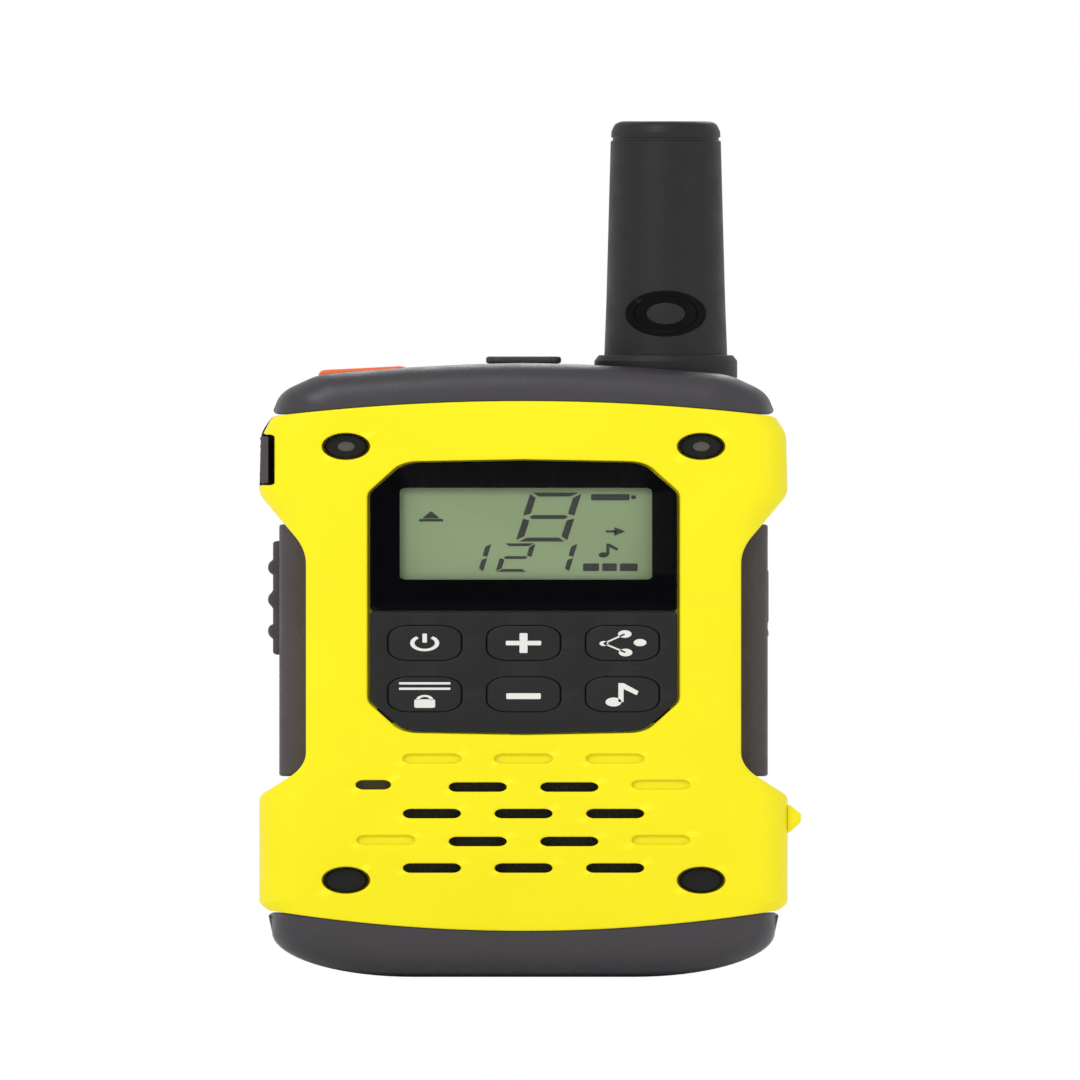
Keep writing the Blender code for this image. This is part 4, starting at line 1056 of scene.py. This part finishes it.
def share_mark(x, z):
    """Four linked dots."""
    dots = [(-2.3, -0.1, 0.55), (0.3, 2.0, 0.85), (2.2, 0.1, 0.8), (0.4, -2.1, 0.85)]
    links = [stroke(x - 2.3, z - 0.1, x + dx, z + dz, 0.3) for dx, dz in ((0.3, 2.0), (0.4, -2.1))]
    return [disc(x + dx, z + dz, radius) for dx, dz, radius in dots] + links


def bars(x, z, *shapes):
    """Small rectangles (x0, x1, z0, z1, radius) about a place."""
    return [rectangle(x + x0, x + x1, z + z0, z + z1, radius) for x0, x1, z0, z1, radius in shapes]


def plus_mark(x, z):
    """A plus sign."""
    arms = [(-0.5, 0.5, low, high, 0.15) for low, high in ((0.5, 2.2), (-2.2, -0.5))]
    return bars(x, z, (-2.2, 2.2, -0.5, 0.5, 0.15), *arms)


def minus_mark(x, z):
    """A minus sign, a little under the middle of its key."""
    return bars(x, z - 0.4, (-2.15, 2.15, -0.65, 0.65, 0.2))


def menu_mark(x, z):
    """Two plain bars over a padlock."""
    shackle = arc_band(x, z - 1.2, 0.85, 0.45, 0, 180, 10)
    lines = bars(x, z, (-3.2, 3.2, 2.2, 2.7, 0.1), (-3.2, 3.2, 1.0, 1.5, 0.1))
    return [*lines, shackle, *bars(x, z, (-1.3, 1.3, -3.0, -1.1, 0.3))]


MARKS = {
    "key_power": power_mark,
    "key_up": plus_mark,
    "key_share": share_mark,
    "key_menu": menu_mark,
    "key_down": minus_mark,
    "key_tone": lambda x, z: note(x, z, 5.0),
}

for node, x, z in key_places():
    key_front, key_back = span(node)[1]
    outline = around(node, "XZ", 2.6)
    face = slab(node + "_face", outline, key_front + 0.05, LENS_BACK - 0.4, 0.4, "Y", 4, 0.8, 8)
    key = merged(node + "_look", face, stem(x, z, LENS_BACK - 0.6, key_back, 2.0))
    piece(key, node, KEY_FACE, node, slot="keypad_rubber")
    piece(prints(node + "_mark", MARKS[node](x, z), key_front, 0.08), node, PRINT, node)
for side, label in SIDES:
    outline = rectangle(side * 12.4 - 3.0, side * 12.4 + 3.0, 68.4, 69.0, 0.25)
    ridge = slab("panel_ridge_" + label, outline, LENS_FRONT - 0.06, LENS_FRONT + 0.3, 0.05)
    piece(ridge, BODY, KEY_FACE, "keypad_panel")


# ---------- what the display shows ----------

# Which digits light each segment.
SEGMENTS = {
    "a": "02356789", "b": "01234789", "c": "013456789", "d": "0235689",
    "e": "0268", "f": "045689", "g": "2345689",
}


def digit(text, x, z, wide, tall, thick, slant=0.16):
    """A seven segment digit from its lower left corner."""
    half, gap = tall / 2, thick * 0.12
    low, high = half - thick / 2, half + thick / 2
    inner, foot, head = wide - thick, thick, tall - thick
    shapes = {
        "a": [(0, tall), (wide, tall), (inner, head), (thick, head)],
        "d": [(0, 0), (wide, 0), (inner, foot), (thick, foot)],
        "g": [(thick / 2, half), (thick, high), (inner, high)]
        + [(wide - thick / 2, half), (inner, low), (thick, low)],
        "f": [(0, tall), (thick, head), (thick, high), (0, half)],
        "b": [(wide, tall), (inner, head), (inner, high), (wide, half)],
        "e": [(0, 0), (thick, foot), (thick, low), (0, half)],
        "c": [(wide, 0), (inner, foot), (inner, low), (wide, half)],
    }
    made = []
    for name, points in shapes.items():
        if text in SEGMENTS[name]:
            cx = sum(u for u, _ in points) / len(points)
            cz = sum(v for _, v in points) / len(points)
            shifted = [(u + (cx - u) * gap + slant * v, v + (cz - v) * gap) for u, v in points]
            made.append([(x + u, z + v, 0) for u, v in shifted])
    return made


readout = digit("8", -1.0, 96.7, 6.5, 11.0, 1.0)
for text, left, wide in (("1", -8.6, 3.6), ("2", -3.5, 4.0), ("1", 2.1, 3.6)):
    readout += digit(text, left, 90.0, wide, 6.4, 0.7)
battery_mark = [rectangle(8.4, 13.2, 105.9, 107.3, 0.2), rectangle(13.4, 14.0, 106.2, 107.0, 0.1)]
signal_mark = [[(-12.6, 101.9, 0.1), (-10.4, 101.9, 0.1), (-11.5, 103.6, 0.2)]]
signal_mark.append(rectangle(-13.0, -10.0, 101.2, 101.8, 0.1))
arrow_mark = [stroke(10.2, 99.0, 11.6, 99.0, 0.5), [(11.3, 98.0, 0), (12.7, 99.0, 0), (11.3, 100.0, 0)]]
block_places = ((7.4, 9.4), (9.8, 11.6), (12.0, 14.2))
blocks_mark = [rectangle(left, right, 90.2, 91.9, 0.15) for left, right in block_places]
readout += battery_mark + signal_mark + arrow_mark + note(10.6, 94.8, 3.0) + blocks_mark
piece(prints("lcd_readout", readout, LENS_BACK - 0.02, 0.06), BODY, LCD_INK, "lcd_glass")


# ---------- screws ----------

SCREW_SEAT = -13.75
for node in SCREWS:
    x, _, z = middle(node)
    head, tip = span(node)[1]
    centre = (x, 0, z)
    open_head = node.startswith("screw_top")
    rim = [(0, head + 0.8, 0), (1.15, head + 0.8, 0), (1.15, head, 0.12)] if open_head else [(0, head, 0)]
    profile = rim + [(2.75, head, 0.45), (2.75, SCREW_SEAT, 0), (1.2, SCREW_SEAT, 0)]
    profile += [(1.2, tip, 0.4), (0, tip, 0)]
    piece(lathe(node + "_look", profile, centre, "Y", 40), BODY, BLACK_OXIDE, node, slot="tinned_steel")
    # A lighter grey disc at the bottom of the socket is painted highlight, the glint of the hex socket.
    if open_head:
        profile = [(0, head + 0.5, 0), (1.1, head + 0.5, 0), (1.1, head + 0.9, 0), (0, head + 0.9, 0)]
        piece(lathe(node + "_socket", profile, centre, "Y", 24), BODY, SOCKET_GLINT, node)


# ---------- top: emergency button, socket flap, antenna ----------

(sos_left, sos_right), (sos_front, sos_back), (sos_low, sos_high) = span("sos_button")
sos_corners = [(sos_left, sos_low, 0.2), (sos_right, sos_low, 0.2)]
sos_corners += [(sos_right, sos_high, 1.1), (sos_left, sos_high - 1.0, 1.1)]
sos = slab("sos_button_look", sos_corners, sos_front, sos_back, 0.7)
piece(sos, "sos_button", ORANGE, "sos_button", slot="orange_button")

flap_low, flap_high = span("headset_cover")[2]
flap_outline = around("headset_cover", "XY", 1.6)
flap_body = slab("headset_cover_look", flap_outline, flap_low - 0.5, flap_high, 0.45, "Z", 4, 0.8, 8)
piece(flap_body, "headset_cover", CAP_RUBBER, "headset_cover", slot="dark_rubber")

sheath_low, sheath_top = span("antenna_sheath")[2]
at = (antenna_x, antenna_y, 0)
sheath_tip = [(0, 0, 0), (6.2, 0, 1.5), (6.78, -2.4, 0.4), (6.8, -3.6, 0.1), (6.6, -3.75, 0.1)]
sheath_tip += [(6.6, -4.3, 0.1), (6.86, -4.5, 0.2)]
sheath_profile = [(r, sheath_top + z, corner) for r, z, corner in sheath_tip]
sheath_profile += [(7.4, 150, 12), (7.68, 137, 0.5), (7.68, sheath_low, 0.3), (0, sheath_low, 0)]
sheath = lathe("antenna_sheath_look", sheath_profile, at, steps=96)
piece(sheath, BODY, SHEATH, "antenna_sheath", slot="dark_rubber")

badge_x, _, badge_z = middle("antenna_badge")
SHEATH_RADIUS = 7.46


def curved_disc(name, radius, inner, proud, sunk):
    """A disc, or a ring, that follows the round face of the antenna."""
    skin = Skin()

    def lift(points, drop=0.0):
        bend = np.sqrt((SHEATH_RADIUS + proud - drop) ** 2 - (points[:, 0] - badge_x) ** 2)
        return np.stack((points[:, 0], antenna_y - bend, points[:, 1]), axis=1)

    turn = np.linspace(0, 2 * math.pi, 73)[:-1]
    circle = np.stack((np.cos(turn), np.sin(turn)), axis=1)
    centre = np.array((badge_x, badge_z))
    loops = [centre + circle * radius] + ([centre + circle * inner] if inner else [])
    faces, backs = [], []
    for place, loop in enumerate(loops):
        rim, face = edge_rings(skin, loop, lift, 0.1, outward=place > 0)
        root = skin.ring(lift(loop, sunk))
        skin.bridge(rim, root)
        faces.append(face)
        backs.append((root, loop))
    skin.fill(faces, lift, 0.7)
    skin.fill(backs, lambda points: lift(points, sunk), 0.9)
    return skin.build(name)


badge = curved_disc("antenna_badge_look", 5.1, 4.0, 0.22, 0.8)
piece(badge, BODY, BADGE, "antenna_badge", slot="dark_shell")
piece(curved_disc("antenna_badge_field", 4.05, 0, 0.08, 0.6), BODY, BADGE, "antenna_badge")
piece(curved_disc("antenna_badge_centre", 2.4, 0, 0.2, 0.6), BODY, SHEATH, "antenna_badge")
collar_profile = [(8.0, 138.2, 0.15), (8.35, 138.2, 0.3), (8.9, 136.9, 0.6), (8.9, collar_low, 0.3)]
collar_profile += [(5.0, collar_low, 0), (5.0, 135.8, 0), (8.0, 135.8, 0)]
collar = lathe("antenna_collar_look", collar_profile, at, steps=96)
piece(collar, BODY, SHEATH, "antenna_collar", slot="dark_rubber")


# ---------- base: lamp ----------

lamp_profile = [(0, 0.45, 0), (3.2, 0.65, 0.4), (4.1, 1.0, 0.1), (4.1, 1.6, 0), (0, 1.6, 0)]
lamp_lens = lathe("torch_lens_look", lamp_profile, (0, lamp_y, 0), "Z", 48)
piece(lamp_lens, BODY, LENS_CLEAR, "torch_lens", slot="clear_lens")


# ---------- back: door, latch, clip ----------

_, (door_inner, door_outer), (_, door_high) = span("battery_door")
ribs = [(rectangle(-14.0, 14.0, 26.0 + 6 * i, 28.4 + 6 * i, 1.1), 0.5) for i in range(5)]
latch_pocket = [(rectangle(-6.4, 6.4, 65.6, door_high - 0.9, 0.8), 1.1)]
door_outline = around("battery_door", "XZ", 3.0)
door = pierced("battery_door_look", door_outline, ribs + latch_pocket, door_outer, door_inner, 0.5, 0.25)
latch_mouth = slab("latch_mouth", rectangle(-6.4, 6.4, 74.0, 79.0, 0.3), 15.9, 19.0, 0.1)
piece(boolean(door, latch_mouth), "battery_door", HOUSING_DARK, "battery_door", slot="dark_shell")

foam = slab("door_foam", rectangle(-18.0, 18.0, 24.0, 62.0, 1.5), door_inner - 0.2, door_inner + 0.1, 0.08)
piece(foam, "battery_door", FOAM, "battery_door")
for side, label in SIDES:
    outline = rectangle(side * 21.4 - 1.2, side * 21.4 + 1.2, 30.0, 66.0, 0.5)
    rib = slab("door_inner_rib_" + label, outline, door_inner - 0.25, door_inner + 0.1, 0.1)
    piece(rib, "battery_door", HOUSING_DARK, "battery_door")

# ---------- battery: three wrapped cells ----------

(pack_left, pack_right), (pack_front, pack_back), (pack_low, pack_high) = span("battery_pack")
cell_radius = (pack_back - pack_front) / 2
cell_y = (pack_front + pack_back) / 2
pitch = (pack_right - pack_left) / 2 - cell_radius
can = cell_radius - 0.12
for place, label in ((-1, "left"), (0, "middle"), (1, "right")):
    half = ((0, 0.3, 0), (5.4, 0.3, 0.1), (5.7, 0, 0.2), (can, 0, 0.9))
    profile = [(r, pack_low + z, corner) for r, z, corner in half]
    profile += [(r, pack_high - z, corner) for r, z, corner in reversed(half)]
    cell = lathe("battery_cell_" + label, profile, (place * pitch, cell_y, 0), "Z", 72)
    piece(cell, BODY, STEEL, "battery_pack")


def film_outline():
    """The wrap's outline seen along the cells: round ends, and a shallow valley between two cells."""
    valley = 0.3
    across = np.linspace(-pitch, pitch, 41)
    waves = [(x, cell_radius - valley * (1 - math.cos(2 * math.pi * x / pitch))) for x in across]
    turns = [math.radians(90 - 7.5 * step) for step in range(1, 24)]
    ends = [(pitch + cell_radius * math.cos(a), cell_radius * math.sin(a)) for a in turns]
    half = waves + ends
    return [(x, cell_y + y, 0) for x, y in half] + [(-x, cell_y - y, 0) for x, y in half]


film_wrap = slab("battery_wrap", film_outline(), pack_low + 2.2, pack_high - 2.2, 0.1, "Z")
piece(film_wrap, BODY, WRAP, "battery_pack", slot="battery_wrap")

(latch_left, latch_right), (latch_front, latch_back), (latch_low, latch_high) = span("door_latch")
latch_outline = rectangle(latch_left, latch_right, latch_low, 75.2, 0.8)
latch_parts = [slab("latch_body", latch_outline, latch_front, 17.0, 0.25)]
latch_parts += [slab("latch_tongue", rectangle(-3.0, 3.0, 74.4, latch_high, 0.4), latch_front, 16.9, 0.15)]
for i in range(3):
    outline = rectangle(-4.6, 4.6, 69.4 + 1.8 * i, 70.2 + 1.8 * i, 0.35)
    latch_parts.append(slab("latch_ridge", outline, 16.5, latch_back, 0.2))
latch = merged("door_latch_look", *latch_parts)
piece(latch, "door_latch", CLIP_DARK, "door_latch", slot="dark_shell")

(clip_left, clip_right), (bracket_front, _), (bracket_low, _) = span("clip_bracket")
bracket_outline = rectangle(clip_left, clip_right, bracket_low, 122.0, 1.6)
bracket = slab("clip_bracket_look", bracket_outline, bracket_front, 20.2, 0.4)
for name, half, low, high in (("stem_slot", 3.7, 16.0, 18.0), ("head_slot", 5.9, 17.65, 19.1)):
    outline = rectangle(-half, half, 100.0, RAIL_HIGH + CLEARANCE, 0.2)
    bracket = boolean(bracket, slab(name, outline, low, high, 0.05))
_, pin_y, pin_z = middle("clip_pin")


def eyes(name, near, far, root, radius):
    """A lug with a round end about the clip's pin, on both sides."""
    made = []
    for side, _ in SIDES:
        x0, x1 = sorted((side * near, side * far))
        low, high = pin_z - radius, pin_z + radius
        corners = [(root, low, 0), (root, high, 0), (pin_y, high, 0), (pin_y, low, 0)]
        profile = [(1.1, 0, 0), (radius, 0, 0.2), (radius, x1 - x0, 0.2), (1.1, x1 - x0, 0)]
        made.append(slab(name + "_neck", corners, x0, x1, 0.15, "X"))
        made.append(lathe(name, profile, (x0, pin_y, pin_z), "X", 40))
    return made


bracket = merged("clip_bracket_whole", bracket, *eyes("bracket_eye", 6.3, 8.6, 19.6, 1.7))
piece(bracket, "clip_bracket", CLIP_DARK, "clip_bracket", slot="dark_shell")

(arm_left, arm_right), _, (arm_low, _) = span("clip_arm")
arm_marks = [(rectangle(-5.6, 5.6, 86.0, 108.0, 1.6), 0.5)]
arm_marks += [(rectangle(-6.4, 6.4, 119.2 + 2.0 * i, 120.0 + 2.0 * i, 0.38), 0.4) for i in range(3)]
arm = pierced("clip_arm_plate", around("clip_arm", "XZ", 2.6), arm_marks, 27.0, 24.2, 0.8, 0.25)
hook_outline = rectangle(arm_left + 1, arm_right - 1, arm_low + 0.8, arm_low + 3.0, 0.9)
hook = slab("clip_hook", hook_outline, 22.0, 24.6, 0.5)
arm = merged("clip_arm_look", arm, hook, *eyes("arm_eye", 3.6, 5.9, 24.6, 1.6))
piece(arm, "clip_arm", CLIP_DARK, "clip_arm", slot="dark_shell")


# ---------- inner pieces keep their frame shape ----------

# The microphone's colour here is partly painted shade of the slot it is seen through.
INNER = {
    "door_seal": SEAL, "keypad_mat": KEYPAD, "dome_sheet": STEEL, "key_board": BOARD,
    "main_board": BOARD, "shield_can": STEEL, "lcd_backlight": GUIDE, "microphone": MIC_SLOT_SHADE,
    "speaker_barrier": FABRIC, "speaker_frame": STEEL, "speaker_cone": PAPER, "speaker_magnet": STEEL,
    "ptt_switch": SWITCH, "torch_switch": SWITCH, "sos_switch": SWITCH,
    "headset_socket": SWITCH, "charging_socket": STEEL, "antenna_foot": BRASS, "antenna_coil": BRASS,
    "torch_lamp": GUIDE, "battery_contact_top": SPRING, "battery_contact_bottom": SPRING,
    "clip_pin": SPRING, "clip_spring": SPRING,
}
for node, material in INNER.items():
    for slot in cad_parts[node].material_slots:
        slot.material = material


# ---------- floor, light and camera ----------

floor_mesh = bpy.data.meshes.new("studio_floor")
reach = 6.0
corners = [(-reach, -reach, 0), (reach, -reach, 0), (reach, reach, 0), (-reach, reach, 0)]
floor_mesh.from_pydata(corners, [], [(0, 1, 2, 3)])
floor = linked("studio_floor", floor_mesh)
floor_look = Nodes("studio_white")
floor_look.finish(Base_Color=(0.93, 0.93, 0.93, 1.0), Roughness=0.7)
floor_mesh.materials.append(floor_look.material)

scene = bpy.context.scene
world = bpy.data.worlds.new("studio_world")
world.use_nodes = True
world.node_tree.nodes["Background"].inputs["Color"].default_value = (1.0, 1.0, 1.0, 1.0)
world.node_tree.nodes["Background"].inputs["Strength"].default_value = 1.0
scene.world = world
scene.view_settings.view_transform = "Standard"


def area_light(name, place, target, size, power):
    """A soft square light that faces a point."""
    data = bpy.data.lights.new(name, "AREA")
    data.shape = "RECTANGLE"
    data.size, data.size_y = size
    data.energy = power
    light = bpy.data.objects.new(name, data)
    light.location = place
    light.rotation_euler = (Vector(target) - Vector(place)).to_track_quat("-Z", "Y").to_euler()
    scene.collection.objects.link(light)
    return light


area_light("key_light", (-0.35, -0.75, 0.75), (0, 0, 0.1), (0.35, 0.35), 4.6)
area_light("fill_light", (0.7, -0.5, 0.3), (0, 0, 0.09), (0.3, 0.5), 0.5)
area_light("rim_light", (0.1, 0.6, 0.6), (0, 0, 0.12), (0.4, 0.25), 2.2)

# The main camera is an oblique orthographic one: it sees the front with its width
# drawn longer than its height, the proportions in which the object was shown.
STRETCH = 300 / 168
lean = math.acos(1 / STRETCH)
camera_data = bpy.data.cameras.new("camera")
camera = bpy.data.objects.new("camera", camera_data)
holder = bpy.data.objects.new("camera_holder", None)
scene.collection.objects.link(camera)
scene.collection.objects.link(holder)
camera_data.type = "ORTHO"
camera_data.ortho_scale = 0.240
camera_data.clip_start = 0.01
camera_data.clip_end = 10.0
skew = Matrix(((math.cos(lean), 0, 0, 0), (math.sin(lean), 0, -1, 0), (0, 1, 0, 0), (0, 0, 0, 1)))
camera.parent = holder
camera.matrix_parent_inverse = skew
camera.location = skew.inverted() @ Vector((0.00205, -0.6, 0.0971))
scene.camera = camera
